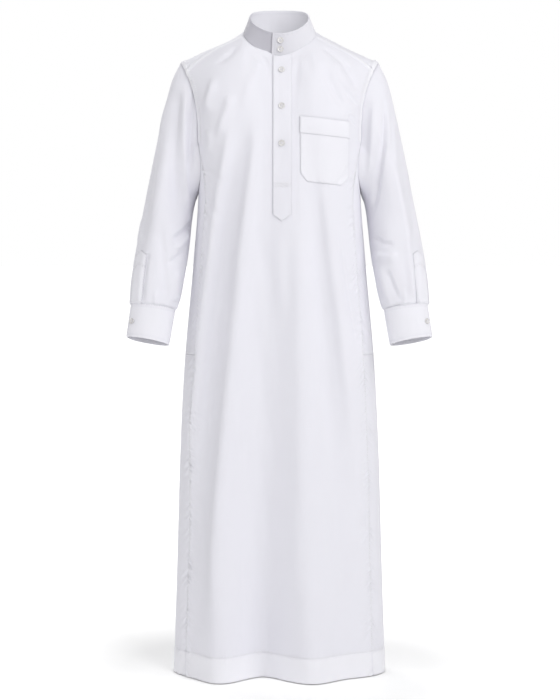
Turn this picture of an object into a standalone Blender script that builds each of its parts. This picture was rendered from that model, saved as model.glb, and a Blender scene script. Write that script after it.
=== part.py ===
"""Long white thobe robe, worn shape with no wearer: one closed cloth wall for each cut piece.

Metres, +Z up. The front of the robe faces -Y. The origin is on the wearer's neck axis,
level with the two points where the shoulders meet the collar.
"""
import math
from collections import namedtuple

import bmesh
import bpy
from mathutils import Matrix, Vector

# Cloth and seams
CLOTH = 0.0016
COLLAR_CLOTH = 0.0024
CUFF_CLOTH = 0.0024
PATCH_CLOTH = 0.0012
SEAM_GAP = 0.0003
HALF_SEAM = SEAM_GAP / 2
PATCH_LIFT = 0.0008
STACK_LIFT = 0.0003

# Lengths, as heights on the hanging robe
HEM_Z = -1.390
HEM_BAND_Z = -1.334
HEM_STEP = 0.0008
POCKET_MOUTH_Z = -0.690
ARMPIT_Z = -0.345
CHEST_Z = -0.238
NECK_POINT_Z = 0.0
SHOULDER_TIP_Z = -0.064

# Widths
NECK_HALF_WIDTH = 0.0752
NECK_HALF_DEPTH = 0.0650
SHOULDER_TIP_X = 0.2132
FORWARD_SEAM_DEPTH = 0.030

# Mesh counts
FRONT_NECK_X = (0.0165, 0.033, 0.049, 0.062, 0.0715)
BACK_NECK_X = (0.024, 0.046, 0.062, 0.0715)
SHOULDER_X = (0.0763, 0.090, 0.104, 0.118, 0.132, 0.146, 0.160)
CHEST_ROWS = 10
OVER_SHOULDER_ROWS = 3
SIDE_COLUMNS = 6
WAIST_ROWS = 8
SKIRT_ROWS = 12
SLEEVE_ROWS = 18
COLLAR_COLUMNS = 30

# Upward shares of the long panels: chest level, shoulder crest, and where the neck rows crowd
LOWER_SHARE = 0.72
CREST_PART = 0.80
NECK_PART = 0.95
SEAM_RISE = 0.0012

# Closed rings of the body: half width, depth to the front and back, squareness of the outline
Level = namedtuple("Level", "z half_width front back square seam_front seam_back")
BODY = (
    Level(-0.238, 0.1775, 0.122, 0.112, 3.20, 0.970, 0.970),
    Level(-0.345, 0.1755, 0.122, 0.116, 2.80, 0.890, 0.890),
    Level(-0.488, 0.1865, 0.119, 0.118, 2.50, 0.884, 0.884),
    Level(-0.690, 0.2045, 0.115, 0.118, 2.35, 0.880, 0.880),
    Level(-0.880, 0.2155, 0.112, 0.117, 2.30, 0.880, 0.880),
    Level(-1.100, 0.2235, 0.109, 0.116, 2.25, 0.878, 0.878),
    Level(-1.390, 0.2325, 0.105, 0.115, 2.20, 0.876, 0.876),
)

# Front edge of the armhole above the chest level, as half width at each height
ArmholeRow = namedtuple("ArmholeRow", "z x")
ARMHOLE = (
    ArmholeRow(-0.238, 0.1722),
    ArmholeRow(-0.195, 0.1734),
    ArmholeRow(-0.160, 0.1768),
    ArmholeRow(-0.130, 0.1832),
    ArmholeRow(-0.096, 0.1955),
    ArmholeRow(-0.064, 0.2132),
)

SHOULDER_END_X = ARMHOLE[0].x - HALF_SEAM

# Shape of the vertical sections above the chest level, by share of the panel's half width
SectionRow = namedtuple("SectionRow", "share front_round back_round crest_lift")
SECTIONS = (
    SectionRow(0.00, 1.40, 2.70, 0.030),
    SectionRow(0.25, 1.50, 2.60, 0.020),
    SectionRow(0.45, 1.85, 2.30, 0.004),
    SectionRow(0.60, 2.00, 2.15, 0.000),
    SectionRow(1.00, 2.00, 2.00, 0.000),
)
ARMHOLE_PULL_START = 0.45

# Long folds: sideways place and height of each ridge (+) or trough (-) at five levels
FOLD_LEVELS = (-0.25, -0.47, -0.80, -1.10, -1.39)
Fold = namedtuple("Fold", "name place height width")
FRONT_FOLDS = (
    Fold("left rib", (-0.122, -0.156, -0.176, -0.180, -0.185),
         (0.004, 0.006, 0.002, 0.000, 0.000), (0.011, 0.010, 0.012, 0.012, 0.012)),
    Fold("left hollow", (-0.088, -0.120, -0.152, -0.166, -0.176),
         (-0.004, -0.008, -0.009, -0.006, 0.000), (0.016, 0.016, 0.018, 0.020, 0.020)),
    Fold("left pipe", (-0.060, -0.074, -0.107, -0.124, -0.123),
         (0.003, 0.009, 0.016, 0.025, 0.038), (0.015, 0.016, 0.023, 0.029, 0.034)),
    Fold("middle hollow", (-0.030, -0.029, -0.032, -0.037, -0.038),
         (0.000, -0.005, -0.014, -0.027, -0.041), (0.020, 0.021, 0.027, 0.031, 0.034)),
    Fold("right pipe", (0.036, 0.039, 0.048, 0.056, 0.069),
         (0.000, 0.004, 0.011, 0.020, 0.031), (0.017, 0.018, 0.024, 0.029, 0.034)),
    Fold("right hollow", (0.066, 0.080, 0.113, 0.139, 0.160),
         (-0.002, -0.007, -0.009, -0.006, -0.003), (0.015, 0.016, 0.020, 0.023, 0.026)),
    Fold("right rib", (0.103, 0.116, 0.154, 0.180, 0.190),
         (0.001, 0.004, 0.003, 0.000, 0.000), (0.014, 0.015, 0.016, 0.016, 0.016)),
)
BACK_FOLDS = (
    Fold("back left pipe", (-0.105, -0.108, -0.116, -0.124, -0.132),
         (0.000, 0.004, 0.012, 0.019, 0.028), (0.020, 0.022, 0.026, 0.030, 0.034)),
    Fold("back left hollow", (-0.055, -0.056, -0.056, -0.058, -0.060),
         (0.000, -0.006, -0.014, -0.022, -0.032), (0.020, 0.021, 0.026, 0.030, 0.032)),
    Fold("back middle pipe", (0.005, 0.006, 0.010, 0.012, 0.014),
         (0.000, 0.005, 0.012, 0.018, 0.026), (0.020, 0.022, 0.026, 0.028, 0.030)),
    Fold("back right hollow", (0.060, 0.064, 0.072, 0.078, 0.082),
         (0.000, -0.005, -0.012, -0.020, -0.028), (0.018, 0.020, 0.024, 0.028, 0.030)),
    Fold("back right pipe", (0.110, 0.116, 0.132, 0.142, 0.148),
         (0.000, 0.004, 0.010, 0.017, 0.022), (0.018, 0.020, 0.024, 0.028, 0.030)),
)

FOLD_FADE_RISE = 0.03
FOLD_FADE_SPAN = 0.10
FOLD_FACING = 1.6

# Sleeve sections from the armhole to the cuff seam: the outer and inner lines and the depth
SleeveRow = namedtuple("SleeveRow", "along outer_x outer_z inner_x inner_z y half_depth lean")
SLEEVE = (
    SleeveRow(0.00, 0.2132, -0.064, 0.1760, -0.345, 0.000, 0.055, 0.0),
    SleeveRow(0.09, 0.2335, -0.108, 0.1772, -0.350, 0.000, 0.062, 0.0),
    SleeveRow(0.21, 0.2534, -0.187, 0.1790, -0.356, 0.000, 0.068, 0.0),
    SleeveRow(0.33, 0.2705, -0.264, 0.1822, -0.364, -0.002, 0.069, 1.0),
    SleeveRow(0.45, 0.2850, -0.334, 0.1865, -0.384, -0.005, 0.066, 3.0),
    SleeveRow(0.57, 0.2980, -0.402, 0.1905, -0.416, -0.012, 0.061, 6.0),
    SleeveRow(0.68, 0.3070, -0.452, 0.1950, -0.459, -0.022, 0.056, 9.0),
    SleeveRow(0.79, 0.3145, -0.499, 0.2010, -0.503, -0.034, 0.051, 12.0),
    SleeveRow(0.90, 0.3200, -0.542, 0.2095, -0.548, -0.046, 0.045, 13.0),
    SleeveRow(1.00, 0.3215, -0.5850, 0.2225, -0.5965, -0.058, 0.034, 14.0),
)
CUFF = (
    SleeveRow(0.00, 0.3205, -0.5857, 0.2238, -0.5972, -0.0580, 0.0325, 14.0),
    SleeveRow(1.00, 0.3293, -0.6520, 0.2360, -0.6690, -0.0750, 0.0315, 14.0),
)
ARMHOLE_BLEND = 0.34

# Lengthwise folds of a sleeve: place around it (0 outer line, 90 front), span along it
SleeveFold = namedtuple("SleeveFold", "angle height width start end")
SLEEVE_FOLDS = (
    SleeveFold(38.0, -0.0045, 15.0, 0.10, 0.80),
    SleeveFold(72.0, 0.0040, 16.0, 0.05, 0.75),
    SleeveFold(112.0, -0.0045, 15.0, 0.04, 0.62),
    SleeveFold(228.0, -0.0040, 18.0, 0.10, 0.70),
    SleeveFold(292.0, 0.0035, 18.0, 0.15, 0.85),
)
CUFF_GATHERS = 7
CUFF_GATHER_HEIGHT = 0.0016
CUFF_GATHER_SPAN = 0.22

# Collar rim: half width, depth and height at the front, sides and back
RIM_HALF_WIDTH = 0.0645
RIM_HALF_DEPTH = 0.0605
RIM_FRONT_Z = -0.0060
RIM_SIDE_Z = 0.0350
RIM_BACK_Z = 0.0550
COLLAR_EDGE_ANGLE = -13.5
COLLAR_UNDERLAP_ANGLE = 373.5
COLLAR_TUCK_START = 300.0
COLLAR_TUCK_END = 335.0
COLLAR_ROWS = 3
NECKLINE_ANGLES = tuple(range(0, 181, 15))

# Front placket
PLACKET_LEFT = -0.0147
PLACKET_RIGHT = 0.0258
PLACKET_FOOT_Z = -0.3895
PLACKET_POINT_Z = -0.4042
PLACKET_ROWS = 16
PLACKET_TOP_GAP = 0.0022
PATCH_EVEN = 0.010

# Chest pocket: corners as sideways place and height
POCKET_LEFT = 0.0436
POCKET_RIGHT = 0.1466
POCKET_TOP_LEFT_Z = -0.1840
POCKET_TOP_RIGHT_Z = -0.1948
POCKET_CHAMFER = 0.0145
POCKET_LEFT_FOOT_Z = -0.3020
POCKET_RIGHT_FOOT_Z = -0.3125
POCKET_CHAMFER_DROP = 0.0180
POCKET_BAND = 0.0365
POCKET_BAND_SIDE = 0.0006

# Sleeve plackets
GAUNTLET_SPAN = 0.25
GAUNTLET_POINT = 0.022
GAUNTLET_ANGLE = 42.0
GAUNTLET_CUFF_HALF_ANGLE = 21.0
GAUNTLET_TOP_HALF_ANGLE = 17.0
GAUNTLET_ROWS = 6

# Buttons: a low disc with a raised rim
BUTTON_RADIUS = 0.0068
CUFF_BUTTON_RADIUS = 0.0062
BUTTON_THICK = 0.0026
BUTTON_RIM = 0.0016
BUTTON_DISH = 0.0007
BUTTON_SIDES = 12
BUTTON_X = 0.0046
PLACKET_BUTTON_Z = (-0.0860, -0.1631, -0.2410)
COLLAR_BUTTON_X = 0.0021
COLLAR_BUTTON_SHARES = (0.68, 0.29)
CUFF_BUTTON_SHARE = 0.52
CUFF_BUTTON_ANGLE = 40.0
CUFF_EDGE_ANGLE = 17.0
CUFF_UNDERLAP_ANGLE = 60.0
CUFF_TUCK_START = 300.0
CUFF_TUCK_END = 350.0
CUFF_COLUMNS = 22
CUFF_ROWS = 2
ARMHOLE_GAP = 0.0005
ARMHOLE_RISES = (0.8, 0.6, 0.4, 0.2, 0.1, 0.0)

WHITE_CLOTH = (0.86, 0.86, 0.90, 1.0)
PEARL = (0.78, 0.76, 0.74, 1.0)
PIECES = "thobe_robe"
STEP = 1.0e-4
RING_STEP = 0.5

# Tables made once while building
TOP_RISES = {}
CREST_SHARES = {}
PANEL_NET = []
NECKLINE_HEIGHTS = []


def curve_value(places, values, at):
    """Return a smooth curve through the values at their places, level beyond both ends."""
    if at <= places[0]:
        return values[0]
    if at >= places[-1]:
        return values[-1]
    last = len(places) - 1
    k = max(i for i in range(last) if places[i] <= at)
    span = places[k + 1] - places[k]
    share = (at - places[k]) / span

    def slope(i):
        if i == 0 or i == last:
            near = (0, 1) if i == 0 else (last - 1, last)
            return (values[near[1]] - values[near[0]]) / (places[near[1]] - places[near[0]])
        return (values[i + 1] - values[i - 1]) / (places[i + 1] - places[i - 1])

    a = 2 * share ** 3 - 3 * share ** 2 + 1
    b = share ** 3 - 2 * share ** 2 + share
    c = -2 * share ** 3 + 3 * share ** 2
    d = share ** 3 - share ** 2
    return a * values[k] + b * span * slope(k) + c * values[k + 1] + d * span * slope(k + 1)


def column(rows, name):
    """Return one named column of a table."""
    return [getattr(row, name) for row in rows]


BODY_UP = tuple(reversed(BODY))
BODY_Z = column(BODY_UP, "z")
BODY_COLUMNS = {name: column(BODY_UP, name) for name in Level._fields}
FOLD_UP = tuple(reversed(FOLD_LEVELS))


def level(name, z):
    """Return a size of the body ring at a height."""
    return curve_value(BODY_Z, BODY_COLUMNS[name], z)


def smooth(share):
    """Ease from 0 to 1."""
    share = min(1.0, max(0.0, share))
    return share * share * (3 - 2 * share)


def bisect(function, low, high, target):
    """Find where a rising function meets the target."""
    for _ in range(40):
        middle = (low + high) / 2
        if function(middle) < target:
            low = middle
        else:
            high = middle
    return (low + high) / 2


# ---------------------------------------------------------------- body surface
def base_ring(angle, z):
    """Point of the ring with no folds; 0 degrees is the front, 90 the +X side, 180 the back."""
    a = level("half_width", z)
    b = level("front", z) if math.cos(math.radians(angle)) > 0 else level("back", z)
    n = level("square", z)
    s, c = math.sin(math.radians(angle)), math.cos(math.radians(angle))
    r = (abs(s / a) ** n + abs(c / b) ** n) ** (-1.0 / n)
    return Vector((r * s, -r * c, z))


def fold_height(x, z, folds):
    """Sum of the folds at a sideways place and height."""
    total = 0.0
    for fold in folds:
        height = curve_value(FOLD_UP, fold.height[::-1], z)
        width = curve_value(FOLD_UP, fold.width[::-1], z)
        place = curve_value(FOLD_UP, fold.place[::-1], z)
        total += height * math.exp(-0.5 * ((x - place) / width) ** 2)
    return total


def ring_point(angle, z):
    """Point of the folded ring, moved along the ring's own outward direction."""
    here = base_ring(angle, z)
    ahead = base_ring(angle + RING_STEP, z) - base_ring(angle - RING_STEP, z)
    outward = Vector((-ahead.y, ahead.x, 0.0)).normalized()
    if outward.dot(Vector((here.x, here.y, 0.0))) < 0:
        outward = -outward
    folds = FRONT_FOLDS if here.y < 0 else BACK_FOLDS
    flat = smooth(abs(outward.y) * FOLD_FACING)
    fade = smooth((CHEST_Z + FOLD_FADE_RISE - z) / FOLD_FADE_SPAN)
    return here + outward * fold_height(here.x, z, folds) * flat * fade


def seam_angle(z, back=False):
    """Angle of the long seam between the front or back panel and the side panel."""
    share = level("seam_back" if back else "seam_front", z)
    n = level("square", z)
    depth = level("back" if back else "front", z) * (1 - share ** n) ** (1 / n)
    angle = math.degrees(math.atan2(share * level("half_width", z), depth))
    return 180 - angle if back else angle


def crest_z(x):
    """Height of the shoulder line at a half width."""
    fall = (NECK_POINT_Z - SHOULDER_TIP_Z) / (SHOULDER_TIP_X - NECK_HALF_WIDTH)
    return NECK_POINT_Z - fall * (max(x, NECK_HALF_WIDTH) - NECK_HALF_WIDTH)


def upper_point(share, rise, back=False):
    """Point above the chest level; share runs across from -1 to 1, rise 0 to 1 up to the crest."""
    side = abs(share)
    sections = column(SECTIONS, "share")
    rounding = curve_value(sections, column(SECTIONS, "back_round" if back else "front_round"), side)
    lift = curve_value(sections, column(SECTIONS, "crest_lift"), side)
    edge = seam_angle(CHEST_Z, back)
    angle = 180 - side * (180 - edge) if back else side * edge
    foot = base_ring(angle, CHEST_Z)
    edge_x = base_ring(edge, CHEST_Z).x
    blend = smooth((side - ARMHOLE_PULL_START) / (1 - ARMHOLE_PULL_START)) * side
    top_x = foot.x + (SHOULDER_TIP_X - edge_x) * blend
    height = crest_z(top_x) + lift - CHEST_Z
    up = math.sin(rise * math.pi / 2) ** (2 / rounding)
    z = CHEST_Z + height * up
    edge_z = CHEST_Z + up * (SHOULDER_TIP_Z - CHEST_Z)
    spread = curve_value(column(ARMHOLE, "z"), column(ARMHOLE, "x"), edge_z)
    x = foot.x + (spread - ARMHOLE[0].x) * blend
    y = foot.y * max(0.0, 1 - up ** rounding) ** (1 / rounding)
    return Vector((math.copysign(x, share) if share else 0.0, y, z))


def in_neck(point):
    """Say whether a point lies inside the neck opening, seen from above."""
    wide = NECK_HALF_WIDTH + SEAM_GAP
    deep = NECK_HALF_DEPTH + SEAM_GAP
    return (point.x / wide) ** 2 + (point.y / deep) ** 2 < 1.0


def top_rise(share, back=False):
    """How far up a column runs: to the neckline, or to its shoulder seam at the front."""
    def ended(rise):
        point = upper_point(share, rise, back)
        beyond = not back and point.y > -FORWARD_SEAM_DEPTH
        return 1.0 if in_neck(point) or beyond else 0.0
    return bisect(ended, 0.0, 1.0, 0.5)


def outward_at(surface, u, v):
    """Outward direction of a surface of two shares, turned away from the robe's inside."""
    across = surface(u + STEP, v) - surface(u - STEP, v)
    up = surface(u, min(v + STEP, 1.0)) - surface(u, max(v - STEP, 0.0))
    return across.cross(up).normalized()


# ---------------------------------------------------------------- building walls
def material(name, colour, roughness):
    """Return a plain finish."""
    finish = bpy.data.materials.new(name)
    finish.use_nodes = True
    shader = finish.node_tree.nodes["Principled BSDF"]
    shader.inputs["Base Color"].default_value = colour
    shader.inputs["Roughness"].default_value = roughness
    shader.inputs["Metallic"].default_value = 0.0
    return finish


def add_object(name, bm, finish):
    """Make an object from a bmesh and put it in the robe's collection."""
    bmesh.ops.recalc_face_normals(bm, faces=bm.faces)
    mesh = bpy.data.meshes.new(name)
    bm.to_mesh(mesh)
    bm.free()
    mesh.materials.append(finish)
    piece = bpy.data.objects.new(name, mesh)
    bpy.data.collections[PIECES].objects.link(piece)
    return piece


def loft_wall(name, finish, outer, inner, round_about=False):
    """Loft a closed wall between an outer and an inner net of points, rows of equal length."""
    bm = bmesh.new()
    nets = [[[bm.verts.new(p) for p in row] for row in net] for net in (outer, inner)]
    rows, columns = len(outer), len(outer[0])
    wraps = columns if round_about else columns - 1
    for net in nets:
        for r in range(rows - 1):
            for c in range(wraps):
                d = (c + 1) % columns
                bm.faces.new((net[r][c], net[r][d], net[r + 1][d], net[r + 1][c]))
    for r in (0, rows - 1):
        for c in range(wraps):
            d = (c + 1) % columns
            bm.faces.new((nets[0][r][c], nets[0][r][d], nets[1][r][d], nets[1][r][c]))
    if not round_about:
        for c in (0, columns - 1):
            for r in range(rows - 1):
                bm.faces.new((nets[0][r][c], nets[0][r + 1][c], nets[1][r + 1][c], nets[1][r][c]))
    return add_object(name, bm, finish)


def surface_nets(surface, across, up, outer_lift, inner_lift, direction=outward_at):
    """Sample a surface of two shares, moved out by two heights that may change along it."""
    outer, inner = [], []
    for v in up:
        directions = [direction(surface, u, v) for u in across]
        points = [surface(u, v) for u in across]
        outer.append([p + d * outer_lift for p, d in zip(points, directions)])
        deep = inner_lift(v) if callable(inner_lift) else inner_lift
        inner.append([p + d * deep for p, d in zip(points, directions)])
    return outer, inner


def mirrored(nets):
    """Mirror nets of points to the -X side."""
    return tuple([[Vector((-p.x, p.y, p.z)) for p in row] for row in net] for net in nets)


def even(count):
    """Return count + 1 shares from 0 to 1."""
    return [k / count for k in range(count + 1)]


# ---------------------------------------------------------------- front, back and side panels
def column_shares(back):
    """Shares across a panel: columns under the neck, then columns that meet along the shoulders."""
    neck = BACK_NECK_X if back else FRONT_NECK_X
    half = [bisect(lambda s: upper_point(s, 0.0, back).x, 0.0, 1.0, x) for x in neck]
    for x in SHOULDER_X + (SHOULDER_END_X,):
        share = bisect(lambda s: upper_point(s, 0.0).x, 0.0, 1.0, x)
        crest = upper_point(share, 1.0).x
        half.append(bisect(lambda s: upper_point(s, 1.0, back).x, 0.0, 1.0, crest))
    return [-share for share in reversed(half)] + [0.0] + half


def front_surface(u, v):
    """Front panel: across 0 to 1, up 0 to 1 from the hem to its shoulder seams and neckline."""
    share = 2 * u - 1
    if v <= LOWER_SHARE:
        z = HEM_Z + (CHEST_Z - HEM_Z) * v / LOWER_SHARE
        return ring_point(share * seam_angle(z), z)
    return upper_point(share, top_rise_at(share, False) * (v - LOWER_SHARE) / (1 - LOWER_SHARE))


def top_rise_at(share, back):
    """Top of a column, kept for the shares that were asked before."""
    key = (round(abs(share), 7), back)
    if key not in TOP_RISES:
        TOP_RISES[key] = top_rise(abs(share), back)
    return TOP_RISES[key]


def back_surface(u, v):
    """Back panel: across 0 to 1, up 0 to 1 from the hem, over the shoulders to the front seam."""
    share = 1 - 2 * u
    if v <= LOWER_SHARE:
        z = HEM_Z + (CHEST_Z - HEM_Z) * v / LOWER_SHARE
        return ring_point(180 - share * (180 - seam_angle(z, True)), z)
    part = (v - LOWER_SHARE) / (1 - LOWER_SHARE)
    top = top_rise_at(share, True)
    if top < 1 - STEP:
        low = min(1.0, part / CREST_PART) * NECK_PART
        near = max(0.0, part - CREST_PART) / (1 - CREST_PART) * (1 - NECK_PART)
        return upper_point(share, top * (low + near), True)
    if part <= CREST_PART:
        return upper_point(share, part / CREST_PART, True)
    over = (part - CREST_PART) / (1 - CREST_PART)
    front_share = math.copysign(crest_share(abs(share)), share)
    rise = 1 - over * (1 - top_rise_at(front_share, False) - SEAM_RISE)
    return upper_point(front_share, rise)


def crest_share(share):
    """Share of the front half width that stands where the back's share meets the shoulder line."""
    key = round(share, 7)
    if key not in CREST_SHARES:
        target = upper_point(share, 1.0, True).x
        CREST_SHARES[key] = bisect(lambda s: upper_point(s, 1.0).x, 0.0, 1.0, target)
    return CREST_SHARES[key]


def skirt_heights():
    """Heights of the rows from the hem to the pocket mouth, the hem band's edge as a short step."""
    foot = HEM_BAND_Z + HEM_STEP
    rise = (POCKET_MOUTH_Z - foot) / SKIRT_ROWS
    return [HEM_Z, HEM_BAND_Z] + [foot + rise * k for k in range(SKIRT_ROWS + 1)]


def waist_heights():
    """Heights of the rows from the pocket mouth to the chest."""
    rise = (CHEST_Z - POCKET_MOUTH_Z) / WAIST_ROWS
    return [POCKET_MOUTH_Z + rise * k for k in range(WAIST_ROWS + 1)]


def panel_rows(chest_shares):
    """Upward shares of a panel's rows, with the given shares of the way up above the chest."""
    heights = skirt_heights()[:-1] + waist_heights()[:-1]
    body = [LOWER_SHARE * (z - HEM_Z) / (CHEST_Z - HEM_Z) for z in heights]
    return body + [LOWER_SHARE + (1 - LOWER_SHARE) * share for share in chest_shares]


def cloth_depth(z):
    """Depth of the cloth's inner face: the hem is turned up, so it is thicker there."""
    return -(CLOTH + HEM_STEP) if z <= HEM_BAND_Z + HEM_STEP / 2 else -CLOTH


def panel_depth(v):
    """Depth of the inner face at an upward share of a long panel."""
    return cloth_depth(HEM_Z + (CHEST_Z - HEM_Z) * v / LOWER_SHARE)


def build_panels(cloth):
    """Front and back panels."""
    across = [(share + 1) / 2 for share in column_shares(False)]
    rows = panel_rows(even(CHEST_ROWS))
    nets = surface_nets(front_surface, across, rows, 0.0, panel_depth)
    PANEL_NET.extend(nets[0])
    loft_wall("front_panel", cloth, *nets)
    across = [(1 - share) / 2 for share in column_shares(True)]
    over = even(OVER_SHOULDER_ROWS)[1:]
    climb = [CREST_PART * share for share in even(CHEST_ROWS)]
    rows = panel_rows(climb + [CREST_PART + (1 - CREST_PART) * share for share in over])
    loft_wall("back_panel", cloth, *surface_nets(back_surface, across, rows, 0.0, panel_depth))


def side_angle(u, z):
    """Angle of a share across the side panel, from the front seam to the back seam."""
    first, last = seam_angle(z), seam_angle(z, True)
    gap = math.degrees(HALF_SEAM / level("half_width", z))
    return first + gap + (last - first - 2 * gap) * u


def armhole_bottom(u):
    """Height of the side panel's curved top edge."""
    return CHEST_Z - (CHEST_Z - ARMPIT_Z) * 2 * math.sqrt(max(0.0, u * (1 - u)))


def upper_side_surface(u, v):
    """Side panel from the level of the pocket mouth to the underarm."""
    foot = POCKET_MOUTH_Z + HALF_SEAM
    z = foot + (armhole_bottom(u) - foot) * v
    return ring_point(side_angle(u, z), z)


def side_direction(surface, u, v):
    """Outward direction of the side panels, the same as their neighbours' at the seams."""
    z = surface(u, v).z
    angle = side_angle(u, z)
    across = ring_point(angle + STEP, z) - ring_point(angle - STEP, z)
    up = ring_point(angle, z + STEP) - ring_point(angle, z - STEP)
    return across.cross(up).normalized()


def lower_side_surface(u, v):
    """Side panel from the hem to the level of the pocket mouth."""
    z = HEM_Z + (POCKET_MOUTH_Z - HALF_SEAM - HEM_Z) * v
    return ring_point(side_angle(u, z), z)


def build_sides(cloth):
    """Upper and lower side panels, and their mirror images."""
    across = [(1 - math.cos(math.pi * k / SIDE_COLUMNS)) / 2 for k in range(SIDE_COLUMNS + 1)]
    waist = waist_heights()
    skirt = skirt_heights()
    upper_rows = [0.0] + [(z - waist[0]) / (waist[-1] - waist[0]) for z in waist[1:]]
    lower_rows = [(z - skirt[0]) / (skirt[-1] - skirt[0]) for z in skirt]

    def depth(v):
        return cloth_depth(HEM_Z + (POCKET_MOUTH_Z - HEM_Z) * v)
    upper = surface_nets(upper_side_surface, across, upper_rows, 0.0, -CLOTH, side_direction)
    lower = surface_nets(lower_side_surface, across, lower_rows, 0.0, depth, side_direction)
    for side, turn in (("left", tuple), ("right", mirrored)):
        loft_wall(f"side_upper_{side}", cloth, *turn(upper))
        loft_wall(f"side_lower_{side}", cloth, *turn(lower))


# ---------------------------------------------------------------- sleeves and cuffs
def armhole_point(angle):
    """Point of the armhole seam; 0 degrees is the shoulder tip, 90 the front, 180 the underarm."""
    middle = (SHOULDER_TIP_Z + ARMPIT_Z) / 2
    half = (SHOULDER_TIP_Z - ARMPIT_Z) / 2
    z = middle + half * math.cos(math.radians(angle))
    front = math.sin(math.radians(angle)) >= 0
    if z >= CHEST_Z:
        up = (z - CHEST_Z) / (SHOULDER_TIP_Z - CHEST_Z)
        return upper_point(1.0, math.asin(min(1.0, up)) * 2 / math.pi, not front)
    turn = math.asin(min(1.0, (CHEST_Z - z) / (CHEST_Z - ARMPIT_Z))) / 2
    u = math.sin(turn) ** 2
    first, last = seam_angle(z), seam_angle(z, True)
    share = u if front else 1 - u
    return base_ring(first + (last - first) * share, z)


def sleeve_section(rows, angle, along):
    """Point of an elliptical section between the outer and inner lines of a sleeve or cuff."""
    at = {name: curve_value(column(rows, "along"), column(rows, name), along)
          for name in SleeveRow._fields}
    c, s = math.cos(math.radians(angle)), math.sin(math.radians(angle))
    lean = math.radians(at["lean"])
    x = (at["outer_x"] + at["inner_x"]) / 2 + (at["outer_x"] - at["inner_x"]) / 2 * c
    z = (at["outer_z"] + at["inner_z"]) / 2 + (at["outer_z"] - at["inner_z"]) / 2 * c
    y = at["y"] - at["half_depth"] * math.cos(lean) * s
    return Vector((x, y, z + at["half_depth"] * math.sin(lean) * s))


def sleeve_fold(angle, along):
    """Height of the lengthwise folds and of the gathers at the cuff."""
    total = 0.0
    for fold in SLEEVE_FOLDS:
        away = (angle - fold.angle + 180) % 360 - 180
        span = (along - fold.start) / (fold.end - fold.start)
        strength = math.sin(math.pi * span) if 0 < span < 1 else 0.0
        total += fold.height * strength * math.exp(-0.5 * (away / fold.width) ** 2)
    near = smooth((along - 1 + CUFF_GATHER_SPAN) / CUFF_GATHER_SPAN)
    return total + CUFF_GATHER_HEIGHT * near * math.cos(math.radians(angle * CUFF_GATHERS))


def sleeve_surface(u, v):
    """Sleeve: once round from the outer line through the front, and down from armhole to cuff."""
    angle = 360 * u
    point = sleeve_section(SLEEVE, angle, v)
    out = Vector((math.cos(math.radians(angle)), -math.sin(math.radians(angle)), 0.0))
    point += out * sleeve_fold(angle, v)
    if v < ARMHOLE_BLEND:
        keep = (1 - v / ARMHOLE_BLEND) ** 2
        point += (armhole_point(angle) - sleeve_section(SLEEVE, angle, 0.0)) * keep
    return point + Vector((ARMHOLE_GAP, 0.0, 0.0))


def sleeve_shares():
    """Shares round the sleeve whose columns meet the corners of the panels at the armhole."""
    rise = SHOULDER_TIP_Z - CHEST_Z
    drop = ARMPIT_Z - CHEST_Z
    heights = [CHEST_Z + rise * math.sin(share * math.pi / 2) for share in ARMHOLE_RISES]
    heights += [CHEST_Z + drop * math.sin(math.pi * k / SIDE_COLUMNS) for k in range(1, SIDE_COLUMNS // 2)]
    middle = (SHOULDER_TIP_Z + ARMPIT_Z) / 2
    half = (SHOULDER_TIP_Z - ARMPIT_Z) / 2
    front = [math.acos((z - middle) / half) / (2 * math.pi) for z in heights]
    return [0.0] + front + [0.5] + [1 - share for share in reversed(front)]


def build_sleeves(cloth):
    """Sleeves from the armhole to the cuff seam."""
    around = sleeve_shares()
    outer, inner = surface_nets(sleeve_surface, around, even(SLEEVE_ROWS), 0.0, -CLOTH)
    middle = Vector((0.0, 0.0, (SHOULDER_TIP_Z + ARMPIT_Z) / 2))
    for k, point in enumerate(outer[0]):
        radial = Vector((0.0, point.y - middle.y, point.z - middle.z)).normalized()
        inner[0][k] = point - radial * CLOTH
    for side, turn in (("left", tuple), ("right", mirrored)):
        loft_wall(f"sleeve_{side}", cloth, *turn((outer, inner)), round_about=True)


def tuck(angle, start, end, thickness):
    """How far a band's underlap lies inside its overlap."""
    return -(thickness + 2 * SEAM_GAP) * smooth((angle - start) / (end - start))


def cuff_surface(u, v):
    """Cuff band: from its free edge round the front and back to the end tucked under it."""
    last = 360 + CUFF_UNDERLAP_ANGLE
    angle = CUFF_EDGE_ANGLE + (last - CUFF_EDGE_ANGLE) * u
    point = sleeve_section(CUFF, angle, v)
    out = Vector((math.cos(math.radians(angle)), -math.sin(math.radians(angle)), 0.0))
    return point + out * tuck(angle, CUFF_TUCK_START, CUFF_TUCK_END, CUFF_CLOTH)


def build_cuffs(cloth):
    """Buttoned cuffs."""
    nets = surface_nets(cuff_surface, even(CUFF_COLUMNS), even(CUFF_ROWS), 0.0, -CUFF_CLOTH)
    for side, turn in (("left", tuple), ("right", mirrored)):
        loft_wall(f"cuff_{side}", cloth, *turn(nets))


def gauntlet_surface(u, v):
    """Sleeve placket strip on the sleeve, its pointed end up."""
    half = GAUNTLET_TOP_HALF_ANGLE + (GAUNTLET_CUFF_HALF_ANGLE - GAUNTLET_TOP_HALF_ANGLE) * v
    angle = GAUNTLET_ANGLE + half * (2 * u - 1)
    top = 1 - GAUNTLET_SPAN - GAUNTLET_POINT * (1 - abs(2 * u - 1))
    along = top + (1 - SEAM_GAP - top) * v
    return sleeve_surface(angle / 360, along)


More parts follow.
